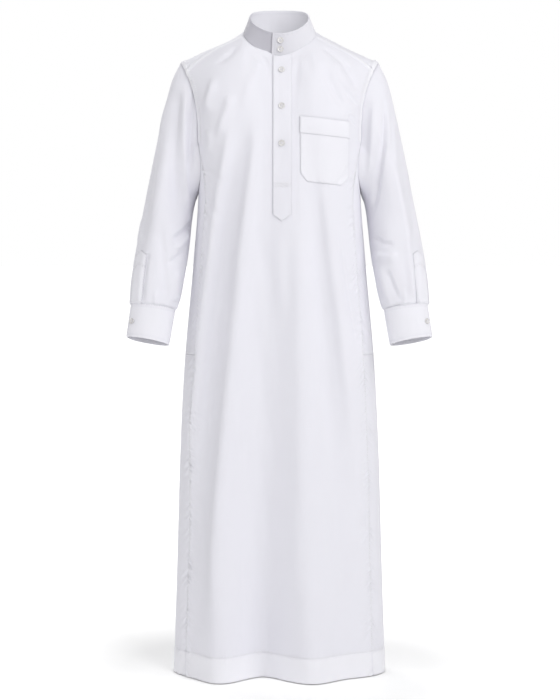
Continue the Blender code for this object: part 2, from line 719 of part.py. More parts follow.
def build_gauntlets(cloth):
    """Pointed strips that bind the sleeve openings above the cuffs."""
    low, high = PATCH_LIFT, PATCH_LIFT + PATCH_CLOTH
    nets = surface_nets(gauntlet_surface, even(4), even(GAUNTLET_ROWS), high, low)
    for side, turn in (("left", tuple), ("right", mirrored)):
        loft_wall(f"sleeve_placket_{side}", cloth, *turn(nets))


# ---------------------------------------------------------------- collar
def neckline_height(angle):
    """Height of the body's surface under the neckline, 0 degrees at the front."""
    x = NECK_HALF_WIDTH * math.sin(math.radians(angle))
    y = -NECK_HALF_DEPTH * math.cos(math.radians(angle))
    back = y > 0

    def rise_at(share):
        return bisect(lambda r: -abs(upper_point(share, r, back).y), 0.0, 1.0, -abs(y))
    share = bisect(lambda s: upper_point(s, rise_at(s), back).x, 0.0, 0.8, x)
    return upper_point(share, rise_at(share), back).z


def neckline_z(angle):
    """Height of the neckline at any angle, from a table made once."""
    if not NECKLINE_HEIGHTS:
        NECKLINE_HEIGHTS.extend(neckline_height(a) for a in NECKLINE_ANGLES)
    folded = abs((angle + 180) % 360 - 180)
    return curve_value(NECKLINE_ANGLES, NECKLINE_HEIGHTS, folded)


def collar_surface(u, v):
    """Stand collar: from its free edge round the back to the end tucked under it, base to rim."""
    angle = COLLAR_EDGE_ANGLE + (COLLAR_UNDERLAP_ANGLE - COLLAR_EDGE_ANGLE) * u
    s, c = math.sin(math.radians(angle)), math.cos(math.radians(angle))
    base = Vector((NECK_HALF_WIDTH * s, -NECK_HALF_DEPTH * c, neckline_z(angle) + 2 * SEAM_GAP))
    tilt = (RIM_FRONT_Z - RIM_BACK_Z) / 2
    bow = (RIM_FRONT_Z + RIM_BACK_Z) / 2 - RIM_SIDE_Z
    rim = Vector((RIM_HALF_WIDTH * s, -RIM_HALF_DEPTH * c, RIM_SIDE_Z + tilt * c + bow * c * c))
    tucked = tuck(angle, COLLAR_TUCK_START, COLLAR_TUCK_END, COLLAR_CLOTH)
    return base.lerp(rim, v) + Vector((s, -c, 0.0)) * tucked


def build_collar(cloth):
    """Stand collar with its overlapping front."""
    nets = surface_nets(collar_surface, even(COLLAR_COLUMNS), even(COLLAR_ROWS), 0.0, -COLLAR_CLOTH)
    loft_wall("collar", cloth, *nets)


# ---------------------------------------------------------------- placket and pocket
def between(low, high, share):
    """Point at a share of the way between two points."""
    return low + (high - low) * share


def front_at(x, z):
    """Point on the front panel's own faces at a sideways place and height."""
    line = []
    for row in PANEL_NET:
        k = max(i for i, point in enumerate(row[:-1]) if point.x <= x or i == 0)
        line.append(between(row[k], row[k + 1], (x - row[k].x) / (row[k + 1].x - row[k].x)))
    k = max(i for i, point in enumerate(line[:-1]) if point.z <= z or i == 0)
    return between(line[k], line[k + 1], (z - line[k].z) / (line[k + 1].z - line[k].z))


def front_direction(surface, u, v):
    """Outward direction of the front panel under a point of a patch, evened over a hand's width."""
    here = surface(u, v)
    across = front_at(here.x + PATCH_EVEN, here.z) - front_at(here.x - PATCH_EVEN, here.z)
    up = front_at(here.x, here.z + PATCH_EVEN) - front_at(here.x, here.z - PATCH_EVEN)
    return across.cross(up).normalized()


def placket_surface(u, v):
    """Front placket: left edge to right edge, pointed foot to collar."""
    x = PLACKET_LEFT + (PLACKET_RIGHT - PLACKET_LEFT) * u
    foot = PLACKET_FOOT_Z + (PLACKET_POINT_Z - PLACKET_FOOT_Z) * (1 - abs(2 * u - 1))
    top = neckline_z(math.degrees(math.asin(x / NECK_HALF_WIDTH))) - PLACKET_TOP_GAP
    return front_at(x, foot + (top - foot) * v)


def pocket_top(x):
    """Height of the pocket's slanting mouth."""
    share = (x - POCKET_LEFT) / (POCKET_RIGHT - POCKET_LEFT)
    return POCKET_TOP_LEFT_Z + (POCKET_TOP_RIGHT_Z - POCKET_TOP_LEFT_Z) * share


def pocket_foot(x):
    """Height of the pocket's lower edge, with its two cut corners."""
    share = (x - POCKET_LEFT) / (POCKET_RIGHT - POCKET_LEFT)
    slant = POCKET_LEFT_FOOT_Z + (POCKET_RIGHT_FOOT_Z - POCKET_LEFT_FOOT_Z) * share
    near = min(x - POCKET_LEFT, POCKET_RIGHT - x)
    return slant - POCKET_CHAMFER_DROP * min(1.0, near / POCKET_CHAMFER)


def pocket_surface(u, v):
    """Chest pocket: side to side, foot to mouth."""
    x = POCKET_LEFT + (POCKET_RIGHT - POCKET_LEFT) * u
    return front_at(x, pocket_foot(x) + (pocket_top(x) - pocket_foot(x)) * v)


def band_surface(u, v):
    """Band across the pocket's mouth."""
    x = POCKET_LEFT - POCKET_BAND_SIDE + (POCKET_RIGHT - POCKET_LEFT + 2 * POCKET_BAND_SIDE) * u
    return front_at(x, pocket_top(x) + POCKET_BAND_SIDE - POCKET_BAND * (1 - v))


def build_patches(cloth):
    """Placket, pocket and pocket band, each on the surface under it."""
    low, high = PATCH_LIFT, PATCH_LIFT + PATCH_CLOTH
    width = PLACKET_RIGHT - PLACKET_LEFT
    across = [0.0, -PLACKET_LEFT / width, 0.5, (FRONT_NECK_X[0] - PLACKET_LEFT) / width, 1.0]
    nets = surface_nets(placket_surface, across, even(PLACKET_ROWS), high, low, front_direction)
    loft_wall("front_placket", cloth, *nets)
    corner = POCKET_CHAMFER / (POCKET_RIGHT - POCKET_LEFT)
    inner = [corner + (1 - 2 * corner) * k / 7 for k in range(8)]
    across = [0.0, corner / 2] + inner + [1 - corner / 2, 1.0]
    nets = surface_nets(pocket_surface, across, even(7), high, low, front_direction)
    loft_wall("chest_pocket", cloth, *nets)
    low, high = high + STACK_LIFT, high + STACK_LIFT + PATCH_CLOTH
    nets = surface_nets(band_surface, across, even(2), high, low, front_direction)
    loft_wall("pocket_band", cloth, *nets)


# ---------------------------------------------------------------- buttons
def add_button(name, finish, place, outward, radius):
    """A low disc with a dished face, its back at the place given."""
    bm = bmesh.new()
    bmesh.ops.create_cone(bm, cap_ends=True, segments=BUTTON_SIDES, radius1=radius * 0.92,
                          radius2=radius, depth=BUTTON_THICK)
    top = max(bm.faces, key=lambda face: face.calc_center_median().z)
    bmesh.ops.inset_region(bm, faces=[top], thickness=BUTTON_RIM)
    bmesh.ops.translate(bm, verts=top.verts, vec=(0.0, 0.0, -BUTTON_DISH))
    turn = outward.to_track_quat("Z", "Y").to_matrix().to_4x4()
    centre = place + outward * (BUTTON_THICK / 2 + STACK_LIFT)
    bmesh.ops.transform(bm, matrix=Matrix.Translation(centre) @ turn, verts=bm.verts)
    return add_object(name, bm, finish)


def build_buttons(pearl):
    """Placket, collar and cuff buttons."""
    u = (BUTTON_X - PLACKET_LEFT) / (PLACKET_RIGHT - PLACKET_LEFT)
    top = placket_surface(u, 1.0).z
    foot = placket_surface(u, 0.0).z
    for number, z in enumerate(PLACKET_BUTTON_Z, 1):
        v = (z - foot) / (top - foot)
        out = front_direction(placket_surface, u, v)
        place = placket_surface(u, v) + out * (PATCH_LIFT + PATCH_CLOTH)
        add_button(f"placket_button_{number}", pearl, place, out, BUTTON_RADIUS)
    turn = math.degrees(math.asin(COLLAR_BUTTON_X / NECK_HALF_WIDTH)) - COLLAR_EDGE_ANGLE
    u = turn / (COLLAR_UNDERLAP_ANGLE - COLLAR_EDGE_ANGLE)
    for number, v in enumerate(COLLAR_BUTTON_SHARES, 1):
        out = outward_at(collar_surface, u, v)
        add_button(f"collar_button_{number}", pearl, collar_surface(u, v), out, BUTTON_RADIUS)
    u = (CUFF_BUTTON_ANGLE - CUFF_EDGE_ANGLE) / (360 + CUFF_UNDERLAP_ANGLE - CUFF_EDGE_ANGLE)
    place = cuff_surface(u, CUFF_BUTTON_SHARE)
    out = outward_at(cuff_surface, u, CUFF_BUTTON_SHARE)
    for side, sign in (("left", 1), ("right", -1)):
        flip = Vector((sign, 1.0, 1.0))
        add_button(f"cuff_button_{side}", pearl, place * flip, out * flip, CUFF_BUTTON_RADIUS)


def main():
    """Clear the scene and build every piece of the robe."""
    for piece in list(bpy.data.objects):
        bpy.data.objects.remove(piece, do_unlink=True)
    robe = bpy.data.collections.new(PIECES)
    bpy.context.scene.collection.children.link(robe)
    cloth = material("white_cloth", WHITE_CLOTH, 0.75)
    pearl = material("pearl_plastic", PEARL, 0.30)
    build_panels(cloth)
    build_sides(cloth)
    build_sleeves(cloth)
    build_cuffs(cloth)
    build_gauntlets(cloth)
    build_collar(cloth)
    build_patches(cloth)
    build_buttons(pearl)


main()
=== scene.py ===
"""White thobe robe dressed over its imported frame: cloth shells, sewing, buttons and studio.

Metres, +Z up. The front of the robe faces -Y and +X is the wearer's left. Each cloth piece is a
thin shell on the form of its own solid, with its creases, felled seams and stitches.
"""
import logging
import math
from collections.abc import Callable, Sequence
from dataclasses import dataclass, replace
from enum import Enum
from functools import cached_property

import bmesh
import bpy
import numpy as np
from mathutils import Matrix, Vector


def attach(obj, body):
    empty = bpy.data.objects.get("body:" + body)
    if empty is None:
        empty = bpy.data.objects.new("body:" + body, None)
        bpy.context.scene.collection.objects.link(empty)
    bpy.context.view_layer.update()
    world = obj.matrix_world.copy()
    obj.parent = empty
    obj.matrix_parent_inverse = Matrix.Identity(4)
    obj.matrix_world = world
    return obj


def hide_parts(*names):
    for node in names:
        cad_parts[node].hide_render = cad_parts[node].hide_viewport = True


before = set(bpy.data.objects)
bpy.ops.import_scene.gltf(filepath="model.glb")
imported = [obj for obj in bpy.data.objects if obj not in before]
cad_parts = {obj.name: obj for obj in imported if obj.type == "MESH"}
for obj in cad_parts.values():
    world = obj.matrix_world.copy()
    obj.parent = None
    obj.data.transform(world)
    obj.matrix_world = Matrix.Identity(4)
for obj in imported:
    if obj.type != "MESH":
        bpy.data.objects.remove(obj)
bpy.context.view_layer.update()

Array = np.ndarray
Colour = tuple[float, float, float, float]
Piece = bpy.types.Object
Material = bpy.types.Material
Node = bpy.types.Node
NodeTree = bpy.types.NodeTree
Socket = bpy.types.NodeSocket
LOG = logging.getLogger("thobe_robe")
BODY_NAME = "root"
CLOTH_SLOT = "white_cloth"
BUTTON_SLOT = "pearl_button"
UV_NAME = "UVMap"
# Point attributes of painted shade that the cloth's material reads: seam shade along seams, edges
# and stitched rows (whiter doubled cloth where negative), and the soft painted shade at tucked
# ends, sleeve ends and the collar's front.
SEAM_NAME = "seam"
PAINTED_SHADE_NAME = "painted_shade"
LONG_PANELS = ("front_panel_cloth", "back_panel_cloth")
MM = 0.001
TINY = 1.0e-6
SEARCH_STEPS = 36
PUCKER_WAVES = 5
PUCKER_HEIGHT = 2.6
SWELL = 0.35
SWELL_LENGTH = 7.3


# ------------------------------------------------------------------ curves and soft relief
def ease(share: Array) -> Array:
    """Ease from 0 to 1."""
    share = np.clip(share, 0.0, 1.0)
    return share * share * (3 - 2 * share)


def bell(away: Array, width: Array | float) -> Array:
    """Soft bump of height 1 with the given half width."""
    return np.exp(-0.5 * (away / width) ** 2)


class Track:
    """Smooth curve through a short table of sizes, level beyond both ends."""

    def __init__(self, places: Sequence[float], values: Sequence[float]) -> None:
        """Sort the table and set the slope at each place.

        Args:
            places: where the sizes are given.
            values: the sizes there.
        """
        order = np.argsort(places)
        self.places = np.array(places, float)[order]
        self.values = np.array(values, float)[order]
        steps = np.diff(self.values) / np.diff(self.places)
        spans = self.places[2:] - self.places[:-2]
        middle = (self.values[2:] - self.values[:-2]) / spans
        self.slopes = np.concatenate((steps[:1], middle, steps[-1:]))

    def __call__(self, at: Array | float) -> Array:
        """Return the size at one place or many."""
        at = np.asarray(at, float)
        last = len(self.places) - 2
        k = np.clip(np.searchsorted(self.places, at, side="right") - 1, 0, last)
        span = self.places[k + 1] - self.places[k]
        t = np.clip((at - self.places[k]) / span, 0.0, 1.0)
        first = 2 * t ** 3 - 3 * t ** 2 + 1
        leave = (t ** 3 - 2 * t ** 2 + t) * span
        arrive = (t ** 3 - t ** 2) * span
        return (first * self.values[k] + leave * self.slopes[k]
                + (1 - first) * self.values[k + 1] + arrive * self.slopes[k + 1])


def find_rising(function: Callable[[Array], Array], target: Array, first: float = 0.0,
                last: float = 1.0) -> Array:
    """Find where rising functions meet their targets, all at once.

    Args:
        function: rises with its argument, which is an array.
        target: values to meet.
        first: lower end of the search.
        last: upper end of the search.

    Returns:
        The arguments that meet the targets.
    """
    low, high = np.full(target.shape, first), np.full(target.shape, last)
    for _ in range(SEARCH_STEPS):
        middle = (low + high) / 2
        below = function(middle) < target
        low = np.where(below, middle, low)
        high = np.where(below, high, middle)
    return (low + high) / 2


def column_at(rows: Sequence[object], key: str, name: str, at: Array | float) -> Array:
    """Return one column of a short table at places along its key column."""
    return Track([getattr(row, key) for row in rows], [getattr(row, name) for row in rows])(at)


@dataclass(frozen=True)
class Crease:
    """One ridge (+) or trough (-) of the cloth, its places given from the top down.

    Its left flank is the one towards -X and its right flank the one towards +X; a small half
    width makes that flank steep. All sizes are in millimetres.
    """

    path: tuple[tuple[float, float], ...]
    height: float
    left: float
    right: float
    start_fade: float = 0.3
    end_fade: float = 0.3
    steps: int = 6
    reach: float = 4.0

    def relief(self, x: Array, z: Array) -> Array:
        """Return the height of the crease at sideways places and heights.

        Args:
            x: sideways places.
            z: heights.

        Returns:
            The relief there.
        """
        knots = np.linspace(0.0, 1.0, len(self.path))
        fine = np.linspace(0.0, 1.0, self.steps * (len(self.path) - 1) + 1)
        px = Track(knots, [p[0] for p in self.path])(fine) * MM
        pz = Track(knots, [p[1] for p in self.path])(fine) * MM
        total = np.zeros(x.shape)
        reach = self.reach * max(self.left, self.right) * MM
        near = (x > px.min() - reach) & (x < px.max() + reach)
        near &= (z > pz.min() - reach) & (z < pz.max() + reach)
        if not near.any():
            return total
        xs, zs = x[near], z[near]
        best = np.full(xs.shape, np.inf)
        side = np.zeros(xs.shape)
        along = np.zeros(xs.shape)
        for k in range(len(fine) - 1):
            dx, dz = px[k + 1] - px[k], pz[k + 1] - pz[k]
            run = math.hypot(dx, dz)
            qx, qz = xs - px[k], zs - pz[k]
            t = np.clip((qx * dx + qz * dz) / run ** 2, 0.0, 1.0)
            away = np.hypot(qx - t * dx, qz - t * dz)
            closer = away < best
            best = np.where(closer, away, best)
            side = np.where(closer, dx * qz - dz * qx, side)
            along = np.where(closer, fine[k] + t * (fine[k + 1] - fine[k]), along)
        width = np.where(side > 0, self.right, self.left) * MM
        fade = ease(along / self.start_fade) * ease((1 - along) / self.end_fade)
        total[near] = self.height * MM * fade * bell(best, width)
        return total


@dataclass(frozen=True)
class Fold:
    """A long fold of the body: its sideways place, height and half width at each fold level."""

    name: str
    place: tuple[float, ...]
    height: tuple[float, ...]
    width: tuple[float, ...]

    def relief(self, x: Array, z: Array, levels: Sequence[float]) -> Array:
        """Return the height of the fold at sideways places and heights."""
        away = x - Track(levels, self.place)(z)
        return Track(levels, self.height)(z) * bell(away, Track(levels, self.width)(z))


@dataclass(frozen=True)
class Unevenness:
    """Slow waviness of hanging cloth, as a sum of long ripples."""

    seed: int
    height: float
    shortest: float
    longest: float
    upright: float = 3.0
    count: int = 26

    def relief(self, x: Array, z: Array) -> Array:
        """Return the waviness at sideways places and heights."""
        rng = np.random.default_rng(self.seed)
        total = np.zeros(np.broadcast(x, z).shape)
        for _ in range(self.count):
            length = rng.uniform(self.shortest, self.longest)
            turn = rng.normal(0.0, 0.5)
            phase = rng.uniform(0.0, 2 * math.pi)
            run = x * math.cos(turn) + z * math.sin(turn) / self.upright
            total += np.sin(2 * math.pi * run / length + phase) * length / self.longest
        return total * self.height / math.sqrt(self.count)


def pucker(along: Array, away: Array, seed: int, length: float, reach: float) -> Array:
    """Return the small waves that a tight seam draws in the cloth beside it.

    Args:
        along: distance along the seam.
        away: distance from the seam.
        seed: which draw of waves.
        length: usual length of a wave.
        reach: how far the waves go from the seam.

    Returns:
        The relief, between about -1 and 1.
    """
    rng = np.random.default_rng(seed)
    total = np.zeros(np.broadcast(along, away).shape)
    for _ in range(PUCKER_WAVES):
        own = length * rng.uniform(0.75, 1.5)
        lean = rng.normal(0.0, 0.5)
        run = along + lean * away
        total += np.sin(2 * math.pi * run / own + rng.uniform(0.0, 2 * math.pi))
    swell = 1 - SWELL + SWELL * np.sin(2 * math.pi * along / (length * SWELL_LENGTH) + seed)
    return total / PUCKER_HEIGHT * swell * np.exp(-np.abs(away) / reach)


# ------------------------------------------------------------------ the body's own form
@dataclass(frozen=True)
class Level:
    """Closed ring of the body at one height."""

    z: float
    half_width: float
    front: float
    back: float
    square: float
    seam_front: float
    seam_back: float


@dataclass(frozen=True)
class SectionRow:
    """Roundness of the vertical sections above the chest, by share of the half width."""

    share: float
    front_round: float
    back_round: float
    crest_lift: float


FOLD_LEVELS = (-0.25, -0.47, -0.80, -1.10, -1.39)
FRONT_FOLDS = (
    Fold("left rib", (-0.122, -0.156, -0.176, -0.180, -0.185),
         (0.004, 0.006, 0.002, 0.000, 0.000), (0.011, 0.010, 0.012, 0.012, 0.012)),
    Fold("left hollow", (-0.088, -0.120, -0.152, -0.166, -0.176),
         (-0.004, -0.008, -0.009, -0.006, 0.000), (0.016, 0.016, 0.018, 0.020, 0.020)),
    Fold("left pipe", (-0.060, -0.074, -0.107, -0.124, -0.123),
         (0.003, 0.009, 0.016, 0.025, 0.038), (0.015, 0.016, 0.023, 0.029, 0.034)),
    Fold("middle hollow", (-0.030, -0.029, -0.032, -0.037, -0.038),
         (0.000, -0.005, -0.014, -0.027, -0.041), (0.020, 0.021, 0.027, 0.031, 0.034)),
    Fold("right pipe", (0.036, 0.039, 0.048, 0.056, 0.069),
         (0.000, 0.004, 0.011, 0.020, 0.031), (0.017, 0.018, 0.024, 0.029, 0.034)),
    Fold("right hollow", (0.066, 0.080, 0.113, 0.139, 0.160),
         (-0.002, -0.007, -0.009, -0.006, -0.003), (0.015, 0.016, 0.020, 0.023, 0.026)),
    Fold("right rib", (0.103, 0.116, 0.154, 0.180, 0.190),
         (0.001, 0.004, 0.003, 0.000, 0.000), (0.014, 0.015, 0.016, 0.016, 0.016)),
)
BACK_FOLDS = (
    Fold("back left pipe", (-0.105, -0.108, -0.116, -0.124, -0.132),
         (0.000, 0.004, 0.012, 0.019, 0.028), (0.020, 0.022, 0.026, 0.030, 0.034)),
    Fold("back left hollow", (-0.055, -0.056, -0.056, -0.058, -0.060),
         (0.000, -0.006, -0.014, -0.022, -0.032), (0.020, 0.021, 0.026, 0.030, 0.032)),
    Fold("back middle pipe", (0.005, 0.006, 0.010, 0.012, 0.014),
         (0.000, 0.005, 0.012, 0.018, 0.026), (0.020, 0.022, 0.026, 0.028, 0.030)),
    Fold("back right hollow", (0.060, 0.064, 0.072, 0.078, 0.082),
         (0.000, -0.005, -0.012, -0.020, -0.028), (0.018, 0.020, 0.024, 0.028, 0.030)),
    Fold("back right pipe", (0.110, 0.116, 0.132, 0.142, 0.148),
         (0.000, 0.004, 0.010, 0.017, 0.022), (0.018, 0.020, 0.024, 0.028, 0.030)),
)


@dataclass(frozen=True)
class BodyForm:
    """The hanging body of the robe as a smooth form, from its driving sizes."""

    hem_z: float = -1.390
    hem_turn_z: float = -1.336
    pocket_mouth_z: float = -0.690
    armpit_z: float = -0.345
    chest_z: float = -0.238
    tip_x: float = 0.2132
    tip_z: float = -0.064
    neck_half_width: float = 0.0752
    neck_half_depth: float = 0.0650
    shoulder_seam_depth: float = 0.030
    pull_start: float = 0.45
    fold_fade_top: float = -0.175
    fold_fade_span: float = 0.100
    fold_facing: float = 1.6
    ring_step: float = 0.5
    levels: tuple[Level, ...] = (
        Level(-0.238, 0.1775, 0.122, 0.112, 3.20, 0.970, 0.970),
        Level(-0.345, 0.1755, 0.122, 0.116, 2.80, 0.890, 0.890),
        Level(-0.488, 0.1865, 0.119, 0.118, 2.50, 0.884, 0.884),
        Level(-0.690, 0.2045, 0.115, 0.118, 2.35, 0.880, 0.880),
        Level(-0.880, 0.2155, 0.112, 0.117, 2.30, 0.880, 0.880),
        Level(-1.100, 0.2235, 0.109, 0.116, 2.25, 0.878, 0.878),
        Level(-1.390, 0.2325, 0.105, 0.115, 2.20, 0.876, 0.876),
    )
    armhole: tuple[tuple[float, float], ...] = (
        (-0.238, 0.1722), (-0.195, 0.1734), (-0.160, 0.1768),
        (-0.130, 0.1832), (-0.096, 0.1955), (-0.064, 0.2132),
    )
    sections: tuple[SectionRow, ...] = (
        SectionRow(0.00, 1.40, 2.70, 0.030),
        SectionRow(0.25, 1.50, 2.60, 0.020),
        SectionRow(0.45, 1.85, 2.30, 0.004),
        SectionRow(0.60, 2.00, 2.15, 0.000),
        SectionRow(1.00, 2.00, 2.00, 0.000),
    )

    def size(self, name: str, z: Array) -> Array:
        """Return one size of the rings at the given heights."""
        return column_at(self.levels, "z", name, z)

    def section(self, name: str, share: Array) -> Array:
        """Return one roundness of the upper sections at the given shares."""
        return column_at(self.sections, "share", name, share)

    def ring(self, angle: Array, z: Array) -> Array:
        """Return points of the rings with no folds.

        Args:
            angle: degrees round the body, 0 at the front and 90 on the +X side.
            z: heights.

        Returns:
            Points, one more axis than the arguments.
        """
        angle, z = np.broadcast_arrays(np.radians(angle), z)
        s, c = np.sin(angle), np.cos(angle)
        depth = np.where(c > 0, self.size("front", z), self.size("back", z))
        n = self.size("square", z)
        r = (np.abs(s / self.size("half_width", z)) ** n + np.abs(c / depth) ** n) ** (-1 / n)
        return np.stack((r * s, -r * c, z), axis=-1)

    def seam_angle(self, z: Array, back: bool) -> Array:
        """Return the angle of the long seam beside the front or back panel."""
        side = "back" if back else "front"
        share = self.size("seam_" + side, z)
        n = self.size("square", z)
        depth = self.size(side, z) * (1 - share ** n) ** (1 / n)
        angle = np.degrees(np.arctan2(share * self.size("half_width", z), depth))
        return 180 - angle if back else angle

    def panel_angle(self, share: Array, edge: Array | float, back: bool) -> Array:
        """Return the angle at a share across a long panel, from the angle of its seam."""
        return 180 - share * (180 - edge) if back else share * edge

    def folded(self, angle: Array, z: Array) -> Array:
        """Return points of the rings with the long folds, moved along the rings' own outward way.

        Args:
            angle: degrees round the body.
            z: heights.

        Returns:
            Points of the hanging body below the chest.
        """
        here = self.ring(angle, z)
        ahead = self.ring(angle + self.ring_step, z) - self.ring(angle - self.ring_step, z)
        out = np.stack((-ahead[..., 1], ahead[..., 0], np.zeros_like(ahead[..., 0])), axis=-1)
        out /= np.linalg.norm(out, axis=-1, keepdims=True)
        flip = np.sum(out * here * (1, 1, 0), axis=-1, keepdims=True) < 0
        out = np.where(flip, -out, out)
        x, y, height = here[..., 0], here[..., 1], here[..., 2]
        front = sum(fold.relief(x, height, FOLD_LEVELS) for fold in FRONT_FOLDS)
        back = sum(fold.relief(x, height, FOLD_LEVELS) for fold in BACK_FOLDS)
        lift = np.where(y < 0, front, back) * ease(np.abs(out[..., 1]) * self.fold_facing)
        lift = lift * ease((self.fold_fade_top - height) / self.fold_fade_span)
        return here + out * lift[..., None]

    @cached_property
    def chest_folds(self) -> tuple[Array, Array]:
        """Return angles round the chest and how far its folds stand off the plain ring there."""
        turns = np.arange(-180.0, 180.0 + self.ring_step, self.ring_step)
        return turns, self.folded(turns, self.chest_z) - self.ring(turns, self.chest_z)

    def crest_z(self, x: Array) -> Array:
        """Return the height of the shoulder line at half widths."""
        fall = -self.tip_z / (self.tip_x - self.neck_half_width)
        return -fall * (np.maximum(x, self.neck_half_width) - self.neck_half_width)

    def upper(self, share: Array, rise: Array, back: bool) -> Array:
        """Return points above the chest level.

        Args:
            share: across, from -1 to 1.
            rise: up from the chest level at 0 to the crest of the shoulder at 1.
            back: whether these are points of the back.

        Returns:
            Points, one more axis than the arguments.
        """
        share, rise = np.broadcast_arrays(np.asarray(share, float), np.asarray(rise, float))
        side = np.abs(share)
        rounding = self.section("back_round" if back else "front_round", side)
        edge = self.seam_angle(self.chest_z, back)
        angle = self.panel_angle(side, edge, back)
        foot = self.ring(angle, self.chest_z)
        edge_x = self.ring(edge, self.chest_z)[..., 0]
        blend = ease((side - self.pull_start) / (1 - self.pull_start)) * side
        top_x = foot[..., 0] + (self.tip_x - edge_x) * blend
        height = self.crest_z(top_x) + self.section("crest_lift", side) - self.chest_z
        up = np.sin(rise * math.pi / 2) ** (2 / rounding)
        edge_z = self.chest_z + up * (self.tip_z - self.chest_z)
        spread = Track(*zip(*self.armhole))(edge_z) - self.armhole[0][1]
        x = foot[..., 0] + spread * blend
        y = foot[..., 1] * np.maximum(0.0, 1 - up ** rounding) ** (1 / rounding)
        z = self.chest_z + height * up
        signed = np.copysign(angle, share)
        turns, folds = self.chest_folds
        fold = np.stack([np.interp(signed, turns, folds[:, axis]) for axis in range(3)], axis=-1)
        left = ease((self.fold_fade_top - z) / self.fold_fade_span)
        left = left / ease((self.fold_fade_top - self.chest_z) / self.fold_fade_span)
        return np.stack((np.copysign(x, share), y, z), axis=-1) + fold * left[..., None]

    def in_neck(self, points: Array, grown: float) -> Array:
        """Say which points lie inside the neck opening, grown by a length, seen from above."""
        wide, deep = self.neck_half_width + grown, self.neck_half_depth + grown
        return (points[..., 0] / wide) ** 2 + (points[..., 1] / deep) ** 2 < 1.0

    def top_rise(self, share: Array, back: bool, tuck_in: float) -> Array:
        """Return how far up each column runs, to the neckline or its shoulder seam.

        Args:
            share: columns, as shares of the half width.
            back: whether these are columns of the back.
            tuck_in: how far the cloth runs in under the collar.

        Returns:
            The rise of each column's end.
        """
        def ended(rise: Array) -> Array:
            """Return 1 where a point is past its end."""
            point = self.upper(share, rise, back)
            stop = self.in_neck(point, -tuck_in)
            if not back:
                stop = stop | (point[..., 1] > -self.shoulder_seam_depth)
            return stop.astype(float)
        return find_rising(ended, np.full(share.shape, 0.5))


# ------------------------------------------------------------------ turning surfaces into cloth
def mesh_of(bm: bmesh.types.BMesh, name: str) -> bpy.types.Mesh:
    """Turn a bmesh into a named mesh."""
    mesh = bpy.data.meshes.new(name)
    bm.to_mesh(mesh)
    bm.free()
    return mesh


def linked(name: str, data: bpy.types.ID) -> Piece:
    """Make an object of a mesh, light or camera and put it in the scene."""
    thing = bpy.data.objects.new(name, data)
    bpy.context.scene.collection.objects.link(thing)
    return thing


def smooth(mesh: bpy.types.Mesh) -> None:
    """Shade all faces of a mesh smooth."""
    mesh.polygons.foreach_set("use_smooth", np.ones(len(mesh.polygons), bool))


def normals_of(points: Array, wrap: bool = False) -> Array:
    """Return the outward directions of a net of points, across times up.

    Args:
        points: rows of points.
        wrap: whether each row closes on itself, its last point being its first.

    Returns:
        Unit directions, the same shape as the points.
    """
    across = np.gradient(points, axis=1)
    if wrap:
        ends = (points[:, 1] - points[:, -2]) / 2
        across[:, 0], across[:, -1] = ends, ends
    out = np.cross(across, np.gradient(points, axis=0))
    return out / np.maximum(np.linalg.norm(out, axis=-1, keepdims=True), 1e-12)


def lifted(points: Array, height: Array, wrap: bool = False) -> Array:
    """Return a net of points moved along its own outward directions."""
    return points + normals_of(points, wrap) * height[..., None]


def edge_runs(points: Array, axis: int) -> tuple[Array, Array]:
    """Return each point's distance along one axis of its net from both ends."""
    steps = np.linalg.norm(np.diff(points, axis=axis), axis=-1)
    run = np.cumsum(np.insert(steps, 0, 0.0, axis=axis), axis=axis)
    return run, np.take(run, [-1], axis=axis) - run


def lengths_along(points: Array, axis: int) -> Array:
    """Return the mean running length of a net of points along one axis."""
    steps = np.linalg.norm(np.diff(points, axis=axis), axis=-1).mean(axis=1 - axis)
    return np.concatenate(([0.0], np.cumsum(steps)))


def crowded(length: float, coarse: float, fine: float, reach: float) -> Array:
    """Return places from 0 to a length, close together near both ends.

    Args:
        length: the whole length.
        coarse: spacing in the middle.
        fine: spacing at the ends.
        reach: how far from an end the spacing takes to widen.

    Returns:
        The places, both ends among them.
    """
    places = [0.0]
    while places[-1] < length / 2:
        share = min(1.0, places[-1] / reach)
        places.append(places[-1] + fine + (coarse - fine) * share ** 1.5)
    half = np.array(places) * (length / 2 / places[-1])
    return np.concatenate((half, length - half[-2::-1]))


def even_net(columns: int, rows: int, first: float = 0.0,
             last: float = 1.0) -> tuple[Array, Array]:
    """Return a net of even places across, from first to last, and up, from 0 to 1."""
    across, up = np.meshgrid(np.linspace(first, last, columns), np.linspace(0.0, 1.0, rows))
    return across, up


